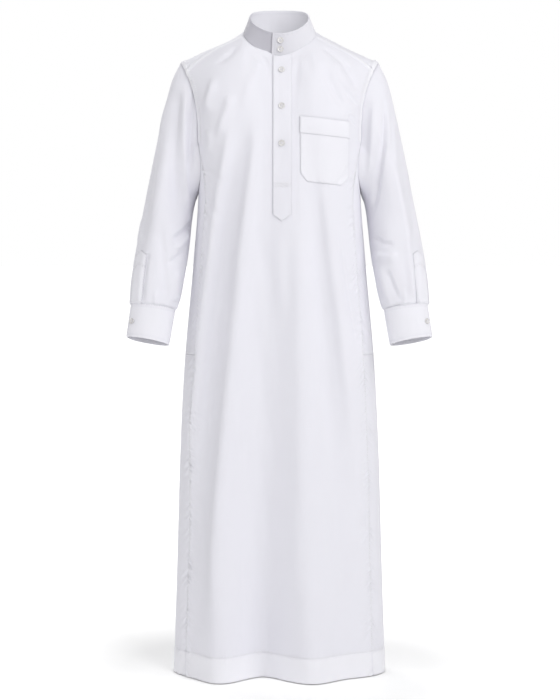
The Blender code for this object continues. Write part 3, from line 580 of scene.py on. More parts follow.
def net_object(name: str, points: Array, wrap: bool = False, seam: Array | None = None,
               painted_shade: Array | None = None) -> Piece:
    """Make a smooth sheet from a net of points, with its UV map in metres of cloth.

    Args:
        name: the piece's name.
        points: rows of points, across then up, so that across times up faces outwards.
        wrap: whether each row closes on itself, its last point being its first.
        seam: how deep each point lies in a seam's shade, or how much whiter its doubled cloth
            is where negative, from -1 to 1.
        painted_shade: painted shade that darkens each point's colour.

    Returns:
        The new object.
    """
    rows, columns = points.shape[:2]
    bm = bmesh.new()
    bm.loops.layers.uv.new(UV_NAME)
    bmesh.ops.create_grid(bm, x_segments=columns - 1, y_segments=rows - 1, size=0.5, calc_uvs=True)
    mesh = mesh_of(bm, name)
    flat = np.empty(len(mesh.vertices) * 3)
    mesh.vertices.foreach_get("co", flat)
    flat = flat.reshape(-1, 3)
    i = np.rint((flat[:, 0] + 0.5) * (columns - 1)).astype(int)
    j = np.rint((flat[:, 1] + 0.5) * (rows - 1)).astype(int)
    corner = np.empty(len(mesh.loops), int)
    mesh.loops.foreach_get("vertex_index", corner)
    across, along = lengths_along(points, 1), lengths_along(points, 0)
    cut = np.stack((across[i[corner]], along[j[corner]]), axis=-1)
    mesh.uv_layers[UV_NAME].data.foreach_set("uv", cut.ravel())
    mesh.vertices.foreach_set("co", points[j, i].ravel())
    for kept, share in ((SEAM_NAME, seam), (PAINTED_SHADE_NAME, painted_shade)):
        if share is not None:
            values = np.clip(share, -1.0, 1.0)[j, i]
            mesh.attributes.new(kept, "FLOAT", "POINT").data.foreach_set("value", values)
    if wrap:
        weld(mesh)
    smooth(mesh)
    mesh.update()
    return linked(name, mesh)


def weld(mesh: bpy.types.Mesh, distance: float = 1.0e-5) -> None:
    """Join a mesh's points that lie on each other."""
    bm = bmesh.new()
    bm.from_mesh(mesh)
    bmesh.ops.remove_doubles(bm, verts=bm.verts, dist=distance)
    bm.to_mesh(mesh)
    bm.free()


def thicken(piece: Piece, depth: float, rolled: float = 0.0) -> None:
    """Give a sheet its thickness inwards, and roll its edges if asked.

    Args:
        piece: the sheet.
        depth: its thickness.
        rolled: radius of the rolled edges, or 0 for plain ones.
    """
    shell = piece.modifiers.new("cloth thickness", "SOLIDIFY")
    shell.thickness = depth
    shell.offset = -1.0
    if rolled:
        roll = piece.modifiers.new("rolled edge", "BEVEL")
        roll.width = rolled
        roll.segments = 2
        roll.limit_method = "ANGLE"
        roll.angle_limit = math.radians(50)


def bake(piece: Piece) -> None:
    """Apply a piece's modifiers to its mesh."""
    scene = bpy.context.evaluated_depsgraph_get()
    mesh = bpy.data.meshes.new_from_object(piece.evaluated_get(scene))
    piece.modifiers.clear()
    piece.data = mesh


class Hold(Enum):
    """How a sheet of cloth is held."""

    HUNG = "hung"
    FOLDED = "folded"
    LAID = "laid"


@dataclass(frozen=True)
class Cut:
    """The flat cut of what shows of a piece of cloth, and how that is held."""

    width: float
    length: float
    area: float
    hold: Hold
    rests_on: tuple[str, ...]

    def declare(self, piece: Piece) -> Piece:
        return piece


def mount_piece(piece: Piece, finish: Material, slot: str,
                *nodes: str) -> Piece:
    """Dress a piece, put it on the body and hide the solids that it replaces.

    Args:
        piece: the finished mesh.
        finish: its material.
        slot: not used.
        nodes: names of the solids that it replaces.

    Returns:
        The same piece.
    """
    piece.data.materials.clear()
    piece.data.materials.append(finish)
    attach(piece, BODY_NAME)
    if nodes:
        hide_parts(*nodes)
    LOG.info("%s: %d faces", piece.name, len(piece.data.polygons))
    return piece


def cloth_piece(node: str, points: Array, finish: Material, cut: Cut, depth: float,
                rolled: float = 0.0, wrap: bool = False, seam: Array | None = None,
                painted_shade: Array | None = None) -> Piece:
    """Make one solid's piece of cloth from its net of points, thicken it and dress it.

    Args:
        node: the solid that it replaces.
        points: its net.
        finish: its material.
        cut: its flat cut.
        depth: its thickness.
        rolled: radius of its rolled edges.
        wrap: whether each row closes on itself.
        seam: how deep each point lies in a seam's shade.
        painted_shade: painted shade that darkens each point's colour.

    Returns:
        The piece.
    """
    piece = net_object(f"{node}_cloth", points, wrap, seam, painted_shade)
    thicken(piece, depth, rolled)
    return cut.declare(mount_piece(piece, finish, CLOTH_SLOT, node))


# ------------------------------------------------------------------ front and back panels
@dataclass
class LongPanel:
    """What the front and back panels share: a net of columns and rows from hem to shoulder."""

    form: BodyForm
    finish: Material
    node: str = "front_panel"
    cut: Cut = Cut(0.470, 1.360, 0.584, Hold.HUNG, ("back_panel_cloth", "collar_cloth"))
    back: bool = False
    cloth: float = 0.0009
    fine_columns: int = 400
    corner_step: float = 0.002
    hem_rows: tuple[float, ...] = (0.0, 0.0007, 0.0016, 0.003, 0.005, 0.008)
    band_start: float = 0.0115
    band_gap: float = 0.003
    turn_start: float = 0.002
    turn_step: float = 0.0014
    turn_gap: float = 0.0012
    seam_seed: int = 11
    fell_start: float = 0.001
    fell_fade: float = 0.004
    column_step: float = 0.0052
    row_step: float = 0.0036
    edge_step: float = 0.0007
    edge_reach: float = 0.022
    upper_rows: int = 96
    over_rows: int = 14
    collar_tuck: float = 0.0015
    hem_ease: float = 0.010
    neck_part: float = 0.985
    creases: tuple[Crease, ...] = ()
    unevenness: tuple[Unevenness, ...] = ()

    def shares(self) -> Array:
        """Return the columns as shares of the half width, close together at the long seams."""
        fine = np.linspace(0.0, 1.0, self.fine_columns)
        z = self.form.pocket_mouth_z
        edge = self.form.seam_angle(z, self.back)
        angle = self.form.panel_angle(fine, edge, self.back)
        run = lengths_along(self.form.ring(angle, z)[None], 1)
        places = crowded(2 * run[-1], self.column_step, self.edge_step, self.edge_reach)
        columns = np.interp(np.abs(places - run[-1]), run, fine) * np.sign(places - run[-1])
        if self.back:
            corner = self.crest_share(self.form.neck_half_width)
            extra = np.array((corner, corner - self.corner_step))
            columns = np.sort(np.concatenate((columns, extra, -extra)))
        return columns

    def crest_share(self, x: Array) -> Array:
        """Return the share of the back's half width that reaches the crest at a half width."""
        x = np.asarray(x, float)
        return find_rising(lambda share: self.form.upper(share, 1.0, self.back)[..., 0], x)

    def heights(self) -> Array:
        """Return the heights of the rows below the chest, close together at the hem."""
        form = self.form
        even = np.arange(form.hem_turn_z + self.hem_ease, form.chest_z - self.row_step / 2,
                         self.row_step)
        hem = form.hem_z + np.array(self.hem_rows)
        band = np.arange(form.hem_z + self.band_start, form.hem_turn_z - self.band_gap,
                         self.row_step)
        turn = np.arange(form.hem_turn_z - self.turn_start, form.hem_turn_z + self.hem_ease,
                         self.turn_step)
        turn = turn[turn < even[0] - self.turn_gap]
        return np.concatenate((hem, band, turn, even, [form.chest_z]))

    def lower(self, shares: Array, heights: Array) -> Array:
        """Return points below the chest, rows of heights by columns of shares."""
        share, z = np.meshgrid(shares, heights)
        edge = self.form.seam_angle(z, self.back)
        return self.form.folded(self.form.panel_angle(share, edge, self.back), z)

    def climb(self, shares: Array, parts: Array) -> Array:
        """Return points above the chest, as parts of the way up each column."""
        top = self.form.top_rise(shares, self.back, self.collar_tuck)
        share, part = np.meshgrid(shares, parts)
        return self.form.upper(share, part * top[None], self.back)

    def net(self) -> Array:
        """Return the whole net of points of the smooth form."""
        shares, heights = self.shares(), self.heights()
        parts = np.linspace(0.0, 1.0, self.upper_rows)[1:]
        return np.concatenate((self.lower(shares, heights), self.climb(shares, parts)))

    def fabric_relief(self, x: Array, z: Array) -> Array:
        """Return the creases and unevenness of the cloth itself, without its seams."""
        total = np.zeros(np.broadcast(x, z).shape)
        for part in (*self.creases, *self.unevenness):
            total = total + part.relief(x, z)
        return total

    def edge_relief(self, points: Array) -> tuple[Array, Array]:
        """Return the relief along the long seams, shoulders and hem, and how deep it is shaded."""
        z = points[..., 2]
        total, shade = np.zeros(z.shape), np.zeros(z.shape)
        for number, away in enumerate(edge_runs(points, 1)):
            seam = SideSeam(self.seam_seed + number)
            total += seam.relief(z, away, self.form)
            shade += seam.shade(z, away, self.form)
        fell = ShoulderSeam(self.back)
        _, below = edge_runs(points, 0)
        start = self.form.neck_half_width + self.fell_start
        beyond = ease((np.abs(points[..., 0]) - start) / self.fell_fade)
        total += fell.relief(points[..., 0], below) * beyond
        shade += fell.shade(below) * beyond
        hem = HemTurn()
        return total + hem.relief(points, self.form), shade + hem.shade(z, self.form)

    def build(self) -> Piece:
        """Build the panel's cloth."""
        points = self.net()
        height, seam = self.edge_relief(points)
        height = height + self.fabric_relief(points[..., 0], points[..., 2])
        return cloth_piece(self.node, lifted(points, height), self.finish, self.cut, self.cloth,
                           seam=seam)


@dataclass(frozen=True)
class SideSeam:
    """A felled long seam: dipped edge, flat fell beside it and puckers drawn by its thread."""

    seed: int
    dip: float = 0.0002
    dip_reach: float = 0.0010
    fell: float = 0.0005
    fell_width: float = 0.0072
    fell_edge: float = 0.0008
    armhole_fell: float = 0.0023
    armhole_width: float = 0.0125
    tick: float = 0.0007
    tick_length: float = 0.0048
    tick_start: float = 0.001
    line: float = 0.0009
    dark: float = 0.35
    armhole_dark: float = 0.75
    stitch_dark: float = 0.30
    stitch_width: float = 0.0017
    stitch_place: float = 0.25
    armhole_stitch_place: float = 0.85
    band_white: float = 0.55
    # Painted light and shade of the band's pulls.
    band_ticks: float = 0.6
    band_fade: float = 0.0012
    wave: float = 0.0026
    wave_length: float = 0.015
    wave_reach: float = 0.016
    wave_lean: float = 0.7
    wave_start: float = 0.002
    wave_above_armpit: float = 0.10
    wave_fade: float = 0.08
    armhole_fade: float = 0.010
    tick_place: float = 0.7
    tick_reach: float = 0.006

    def above_chest(self, z: Array, form: BodyForm) -> Array:
        """Return 1 along a felled seam's armhole and 0 below it."""
        return ease((z - form.chest_z) / self.armhole_fade + 0.5) * (self.fell > 0)

    def fell_line(self, up: Array) -> Array:
        """Return how far the fell reaches from the seam."""
        return self.fell_width + (self.armhole_width - self.fell_width) * up

    def ticks(self, z: Array, away: Array, width: Array) -> Array:
        """Return the short pulls of the stitches across the armhole's band."""
        across = np.abs(away - width * self.tick_place)
        return pucker(z, across, self.seed + 3, self.tick_length, self.tick_reach)

    def relief(self, z: Array, away: Array, form: BodyForm) -> Array:
        """Return the relief at heights and distances from the seam.

        Args:
            z: heights.
            away: distances from the seam's edge.
            form: the body, for the height of the armpit.

        Returns:
            The relief there.
        """
        up = self.above_chest(z, form)
        fell = self.fell + (self.armhole_fell - self.fell) * up
        width = self.fell_line(up)
        shape = fell * ease((width + self.fell_edge - away) / self.fell_edge)
        shape = shape - (self.dip + fell) * np.exp(-away / self.dip_reach)
        start = ease(away / self.tick_start)
        shape = shape + self.tick * self.ticks(z, away, width) * up * start
        waves = pucker(z + self.wave_lean * away, away, self.seed, self.wave_length,
                       self.wave_reach)
        waves = waves * ease(away / self.wave_start) * self.wave
        top = form.armpit_z + self.wave_above_armpit
        return shape + waves * ease((top - z) / self.wave_fade)

    def shade(self, z: Array, away: Array, form: BodyForm) -> Array:
        """Return how deep points lie in the shade of the seam, its stitches and its band."""
        up = self.above_chest(z, form)
        line = self.fell_line(up)
        row = line * (self.stitch_place + self.armhole_stitch_place * up)
        stitches = self.stitch_dark * bell(away - row, self.stitch_width)
        # The band's pulls are also painted in its colour as lighter and darker dashes: painted
        # light and shade.
        white = self.band_white + self.band_ticks * self.ticks(z, away, line)
        band = ease((line - away) / self.band_fade) * up * white
        edge = (self.dark + self.armhole_dark * up) * bell(away, self.line)
        return edge + (stitches - band) * (self.fell > 0)


@dataclass(frozen=True)
class ShoulderSeam:
    """The felled seam at the top of a long panel: a dip at the edge, with the fell on the front."""

    back: bool
    dip: float = 0.0004
    dip_reach: float = 0.0010
    fell: float = 0.0012
    fell_width: float = 0.0085
    fell_edge: float = 0.0012
    doubled: float = 0.5
    doubled_edge: float = 0.001
    seed: int = 19
    wave: float = 0.0006
    wave_length: float = 0.011
    wave_reach: float = 0.008

    def relief(self, x: Array, away: Array) -> Array:
        """Return the relief at sideways places and distances from the edge."""
        shape = -self.dip * np.exp(-away / self.dip_reach)
        if not self.back:
            shape += self.fell * ease((self.fell_width + self.fell_edge - away) / self.fell_edge)
        waves = pucker(x, away, self.seed + self.back, self.wave_length, self.wave_reach)
        return shape + self.wave * waves

    def shade(self, away: Array) -> Array:
        """Return how much whiter the doubled cloth of the fell is."""
        felled = 0.0 if self.back else self.doubled
        return -felled * ease((self.fell_width - away) / self.doubled_edge)


@dataclass(frozen=True)
class HemTurn:
    """The turned-up hem: thicker cloth below a row of stitches, with small pulls along it."""

    step: float = 0.0009
    groove: float = 0.0006
    groove_width: float = 0.0012
    edge: float = 0.002
    dark: float = 0.38
    doubled: float = 0.5
    seed: int = 5
    wave: float = 0.0016
    wave_length: float = 0.010
    wave_reach: float = 0.014

    def relief(self, points: Array, form: BodyForm) -> Array:
        """Return the relief of the hem at a net of points."""
        x, z = points[..., 0], points[..., 2]
        above = z - form.hem_turn_z
        shape = self.step * ease(-above / self.edge) - self.groove * bell(above, self.groove_width)
        waves = pucker(x, np.abs(above), self.seed, self.wave_length, self.wave_reach)
        return shape + self.wave * waves

    def shade(self, z: Array, form: BodyForm) -> Array:
        """Return the shade of the hem's stitches, and how much whiter the turned cloth is."""
        above = z - form.hem_turn_z
        turned = ease(-above / self.edge)
        return self.dark * bell(above, self.groove_width) - self.doubled * turned


@dataclass
class FrontPanel(LongPanel):
    """The front panel, hem to shoulder seams and neckline."""

    rounds: int = 5
    first_rise: float = 0.3

    def base_at(self, x: Array, z: Array) -> Array:
        """Return points of the smooth form at sideways places and heights on the front.

        Args:
            x: sideways places.
            z: heights, below the neckline.

        Returns:
            Points whose x and z are those asked for.
        """
        form = self.form
        side = np.abs(x)
        low = z <= form.chest_z
        level = np.minimum(z, form.chest_z)
        flip = np.where(x < 0, -1.0, 1.0)
        edge = form.seam_angle(level, False) * flip
        share = find_rising(lambda s: form.folded(s * edge, level)[..., 0] * flip, side)
        points = form.folded(share * edge, level)
        rise = np.full(x.shape, self.first_rise)
        for _ in range(self.rounds):
            rise = find_rising(lambda r: form.upper(share, r, False)[..., 2], z)
            share_up = find_rising(lambda s: form.upper(s, rise, False)[..., 0], side)
            share = np.where(low, share, share_up)
        above = form.upper(share * flip, rise, False)
        return np.where(low[..., None], points, above)

    def patch(self, x: Array, z: Array, lift: Array | float = 0.0) -> Array:
        """Return a net of points that lies on the finished panel, moved out by a lift."""
        base = self.base_at(x, z)
        return lifted(base, self.fabric_relief(base[..., 0], base[..., 2]) + lift)


@dataclass
class BackPanel(LongPanel):
    """The back panel, hem to neckline and over the shoulders to the seams on the front."""

    node: str = "back_panel"
    cut: Cut = Cut(0.480, 1.450, 0.6085, Hold.HUNG, ("collar_cloth",))
    back: bool = True
    seam_seed: int = 15
    rounds: int = 6
    first_rise: float = 0.95
    least_rise: float = 0.3
    corner_slack: float = 1.0e-4

    def over_shoulder(self, shares: Array, parts: Array) -> Array:
        """Return points from the crest over to the shoulder seam on the front.

        Args:
            shares: columns whose way up reaches the crest.
            parts: how far over, from 0 at the crest to 1 at the seam.

        Returns:
            Rows of points.
        """
        form = self.form
        crest = form.upper(np.abs(shares), 1.0, True)[..., 0]
        side = (crest - form.neck_half_width) / (form.tip_x - form.neck_half_width)
        y = -parts * form.shoulder_seam_depth
        neck = np.sqrt(1 - (y / form.neck_half_depth) ** 2)
        neck = neck * (form.neck_half_width - self.collar_tuck)
        side, depth = np.meshgrid(np.clip(side, 0.0, 1.0), y)
        start = np.broadcast_to(neck[:, None], side.shape)
        share = side * 0.5 + 0.5
        rise = np.full(side.shape, self.first_rise)
        for _ in range(self.rounds):
            rise = find_rising(lambda r: form.upper(share, r, False)[..., 1], depth,
                               self.least_rise)
            end = form.upper(1.0, rise, False)[..., 0]
            wanted = start + (end - start) * side
            share = find_rising(lambda s: form.upper(s, rise, False)[..., 0], wanted)
        return form.upper(share * np.sign(shares)[None], rise, False)

    def net(self) -> Array:
        """Return the back's net of points, its outer columns carried over the shoulders."""
        form = self.form
        shares, heights = self.shares(), self.heights()
        parts = np.linspace(0.0, 1.0, self.upper_rows)[1:]
        over = np.linspace(0.0, 1.0, self.over_rows)[1:]
        reach = form.top_rise(shares, True, self.collar_tuck)
        over_crest = np.abs(shares) >= self.crest_share(form.neck_half_width) - self.corner_slack
        top = np.where(over_crest, 1.0, reach)
        share, part = np.meshgrid(shares, parts)
        low = part * top[None] * np.where(over_crest, 1.0, self.neck_part)[None]
        climb = form.upper(share, low, True)
        share, part = np.meshgrid(shares, over)
        tail = top[None] * (self.neck_part + (1 - self.neck_part) * part)
        beyond = form.upper(share, tail, True)
        beyond[:, over_crest] = self.over_shoulder(shares[over_crest], over)
        net = np.concatenate((self.lower(shares, heights), climb, beyond))
        return net[:, ::-1]


@dataclass
class SidePanels:
    """The upper and lower side panels of both sides, joined level with the pocket mouths."""

    form: BodyForm
    finish: Material
    cloth: float = 0.0009
    columns: int = 40
    row_step: float = 0.0038
    upper_cut: Cut = Cut(0.147, 0.457, 0.0567, Hold.HUNG, LONG_PANELS)
    lower_cut: Cut = Cut(0.147, 0.706, 0.0991, Hold.HUNG, LONG_PANELS)
    unevenness: tuple[Unevenness, ...] = ()
    beside: tuple[LongPanel, ...] = ()
    carry: float = 0.024
    under: float = 0.005
    under_depth: float = 0.0007
    under_start: float = 0.0016
    under_fade: float = 0.0012
    seed: int = 31
    seed_step: int = 7
    groove: float = 0.0002
    groove_width: float = 0.0010
    # Painted shade along the join level with the pocket mouths.
    dark: float = 0.15
    dark_width: float = 0.0009
    wave: float = 0.0005
    wave_length: float = 0.015
    wave_reach: float = 0.009

    def angle(self, share: Array, z: Array) -> Array:
        """Return the angle of a share across, from the front seam to the back seam."""
        first, last = self.form.seam_angle(z, False), self.form.seam_angle(z, True)
        return first + (last - first) * share

    def top_z(self, share: Array) -> Array:
        """Return the height of the curved underarm edge."""
        drop = self.form.chest_z - self.form.armpit_z
        return self.form.chest_z - drop * 2 * np.sqrt(np.maximum(share * (1 - share), 0.0))

    def stretch(self, foot_z: float, full_z: float, top: Callable[[Array], Array]) -> Array:
        """Return the net of one panel's form.

        Args:
            foot_z: the height of its lower edge.
            full_z: the height of its highest point, which sets the number of rows.
            top: gives the height of its upper edge at shares across.

        Returns:
            Rows of points.
        """
        across = 0.5 - (0.5 + self.under) * np.cos(np.pi * np.linspace(0.0, 1.0, self.columns))
        rows = round((full_z - foot_z) / self.row_step)
        share, part = np.meshgrid(across, np.linspace(0.0, 1.0, rows))
        z = foot_z + (top(share) - foot_z) * part
        return self.form.folded(self.angle(share, z), z)

    def carried(self, net: Array, flip: int) -> Array:
        """Return how the creases of the long panels carry on past their edges, as moves."""
        total = np.zeros(net.shape)
        for panel, away, column in zip(self.beside, edge_runs(net, 1), (0, -1)):
            points = panel.net()
            edge = int(np.argmax(points[0, :, 0] * flip))
            moves = lifted(points, panel.fabric_relief(points[..., 0], points[..., 2])) - points
            low = points[:, edge, 2] <= self.form.chest_z + TINY
            heights, moves = points[low, edge, 2], moves[low, edge] * (flip, 1, 1)
            move = np.stack([np.interp(net[:, column, 2], heights, part) for part in moves.T], -1)
            total = total + move[:, None] * bell(away, self.carry)[..., None]
        return total

    def relief(self, points: Array, seed: int) -> tuple[Array, Array]:
        """Return the relief of the seams, hem and cloth, and how deep it is shaded."""
        y, z = points[..., 1], points[..., 2]
        total = sum(part.relief(y, z) for part in self.unevenness)
        shade = np.zeros(z.shape)
        for number, away in enumerate(edge_runs(points, 1)):
            seam = SideSeam(seed=seed + number, fell=0.0)
            total = total + seam.relief(z, away, self.form)
            under = ease((self.under_start - away) / self.under_fade)
            total = total - self.under_depth * under
            shade += seam.shade(z, away, self.form)
        across = z - self.form.pocket_mouth_z
        waves = pucker(y, np.abs(across), seed, self.wave_length, self.wave_reach)
        total = total + self.wave * waves - self.groove * bell(across, self.groove_width)
        # Painted shade along the join level with the pocket mouths.
        shade += self.dark * bell(across, self.dark_width)
        hem = HemTurn()
        total = total + hem.relief(points[..., (1, 0, 2)], self.form)
        return total, shade + hem.shade(z, self.form)

    def build(self) -> list[Piece]:
        """Build the four side panels."""
        form = self.form
        upper = self.stretch(form.pocket_mouth_z, form.chest_z, self.top_z)
        lower = self.stretch(form.hem_z, form.pocket_mouth_z,
                             lambda share: np.full(share.shape, form.pocket_mouth_z))
        pieces = []
        for side, flip in (("left", 1), ("right", -1)):
            for half, net, cut in (("upper", upper, self.upper_cut),
                                   ("lower", lower, self.lower_cut)):
                height, seam = self.relief(net, self.seed + self.seed_step * flip)
                points = lifted(net, height) + self.carried(net, flip)
                if flip < 0:
                    points, seam = points[:, ::-1] * (-1, 1, 1), seam[:, ::-1]
                pieces.append(cloth_piece(f"side_{half}_{side}", points, self.finish, cut,
                                          self.cloth, seam=seam))
        return pieces


@dataclass(frozen=True)
class DoubledEdge:
    """The rolled edge of a doubled piece, with the row of stitches inside it."""

    inset: float
    seed: int = 0
    wave: float = 0.0003
    wave_length: float = 0.010
    wave_reach: float = 0.004
    roll: float = 0.0
    roll_reach: float = 0.0008
    groove: float = 0.0004
    groove_width: float = 0.0008
    line: float = 0.0010
    edge_dark: float = 1.1
    row_dark: float = 0.35
    row_width: float = 0.8
    doubled: float = 0.22

    def relief(self, along: Array, away: Array) -> Array:
        """Return the relief at distances along an edge and away from it."""
        row = away - self.inset
        shape = -self.roll * np.exp(-away / self.roll_reach)
        shape = shape - self.groove * bell(row, self.groove_width)
        waves = pucker(along, row, self.seed, self.wave_length, self.wave_reach)
        return shape + self.wave * waves

    def shade(self, away: Array) -> Array:
        """Return the shade of the edge and its row, and how much whiter the doubled cloth is."""
        row = self.row_dark * bell(away - self.inset, self.line * self.row_width)
        return self.edge_dark * np.exp(-away / self.line) + row - self.doubled


class Sided:
    """What is made once for each side of the robe."""

    side: str

    @property
    def flip(self) -> int:
        """Return 1 for the wearer's left, on the +X side, and -1 for the right."""
        return 1 if self.side == "left" else -1


# ------------------------------------------------------------------ sleeves and cuffs
@dataclass(frozen=True)
class SleeveRow:
    """Section of a sleeve or cuff: its outer and inner lines, depth and lean."""

    along: float
    outer_x: float
    outer_z: float
    inner_x: float
    inner_z: float
    y: float
    half_depth: float
    lean: float


SLEEVE_ROWS = (
    SleeveRow(0.00, 0.2132, -0.064, 0.1760, -0.345, 0.000, 0.055, 0.0),
    SleeveRow(0.09, 0.2335, -0.108, 0.1772, -0.350, 0.000, 0.062, 0.0),
    SleeveRow(0.21, 0.2534, -0.187, 0.1790, -0.356, 0.000, 0.068, 0.0),
    SleeveRow(0.33, 0.2705, -0.264, 0.1822, -0.364, -0.002, 0.069, 1.0),
    SleeveRow(0.45, 0.2850, -0.334, 0.1865, -0.384, -0.005, 0.066, 3.0),
    SleeveRow(0.57, 0.2980, -0.402, 0.1905, -0.416, -0.012, 0.061, 6.0),
    SleeveRow(0.68, 0.3070, -0.452, 0.1950, -0.459, -0.022, 0.056, 9.0),
    SleeveRow(0.79, 0.3145, -0.499, 0.2010, -0.503, -0.034, 0.051, 12.0),
    SleeveRow(0.90, 0.3200, -0.542, 0.2095, -0.548, -0.046, 0.045, 13.0),
    SleeveRow(1.00, 0.3215, -0.585, 0.2225, -0.5965, -0.058, 0.034, 14.0),
)
CUFF_ROWS = (
    SleeveRow(0.00, 0.3201, -0.5828, 0.2233, -0.5943, -0.0573, 0.0326, 14.0),
    SleeveRow(1.00, 0.3293, -0.6520, 0.2360, -0.6690, -0.0750, 0.0315, 14.0),
)


def tube_section(rows: Sequence[SleeveRow], angle: Array, along: Array) -> Array:
    """Return points of the elliptical sections between a tube's outer and inner lines.

    Args:
        rows: the tube's sections.
        angle: degrees round it, 0 on the outer line and 90 at the front.
        along: shares of the way down.

    Returns:
        Points, one more axis than the arguments.
    """
    angle, along = np.broadcast_arrays(np.radians(angle), np.asarray(along, float))

    def at(name: str) -> Array:
        """Return one size down the tube."""
        return column_at(rows, "along", name, along)
    c, s, lean = np.cos(angle), np.sin(angle), np.radians(at("lean"))
    x = (at("outer_x") + at("inner_x")) / 2 + (at("outer_x") - at("inner_x")) / 2 * c
    z = (at("outer_z") + at("inner_z")) / 2 + (at("outer_z") - at("inner_z")) / 2 * c
    y = at("y") - at("half_depth") * np.cos(lean) * s
    return np.stack((x, y, z + at("half_depth") * np.sin(lean) * s), axis=-1)


def tube_outward(angle: Array) -> Array:
    """Return level directions out of a tube at degrees round it."""
    turn = np.radians(angle)
    return np.stack((np.cos(turn), -np.sin(turn), np.zeros_like(turn)), axis=-1)


@dataclass(frozen=True)
class AroundFold:
    """A lengthwise fold of a sleeve: its place round it and its span along it."""

    angle: float
    height: float
    width: float
    start: float
    end: float

    def relief(self, angle: Array, along: Array) -> Array:
        """Return the height of the fold."""
        away = (angle - self.angle + 180) % 360 - 180
        span = np.clip((along - self.start) / (self.end - self.start), 0.0, 1.0)
        return self.height * np.sin(np.pi * span) * bell(away, self.width)


@dataclass(frozen=True)
class CuffGathers:
    """Small pleats where the sleeve is eased into its cuff."""

    seed: int
    count: int = 13
    height: float = 0.0022
    width: float = 7.0
    reach: float = 0.16
    stray: float = 0.25
    reaches: tuple[float, float] = (0.45, 1.3)
    heights: tuple[float, float] = (0.5, 1.2)
    lean: float = 8.0
    level: float = 0.45

    def relief(self, angle: Array, along: Array) -> Array:
        """Return the height of the pleats."""
        rng = np.random.default_rng(self.seed)
        total = np.zeros(angle.shape)
        for k in range(self.count):
            place = 360 * (k + rng.uniform(-self.stray, self.stray)) / self.count
            own = self.reach * rng.uniform(*self.reaches)
            lean = rng.normal(0.0, self.lean)
            away = (angle - place - lean * (1 - along) / self.reach + 180) % 360 - 180
            near = ease((along - 1 + own) / own)
            total += rng.uniform(*self.heights) * near * bell(away, self.width)
        eased = ease((along - 1 + self.reach) / self.reach)
        return self.height * (total - self.level * eased)


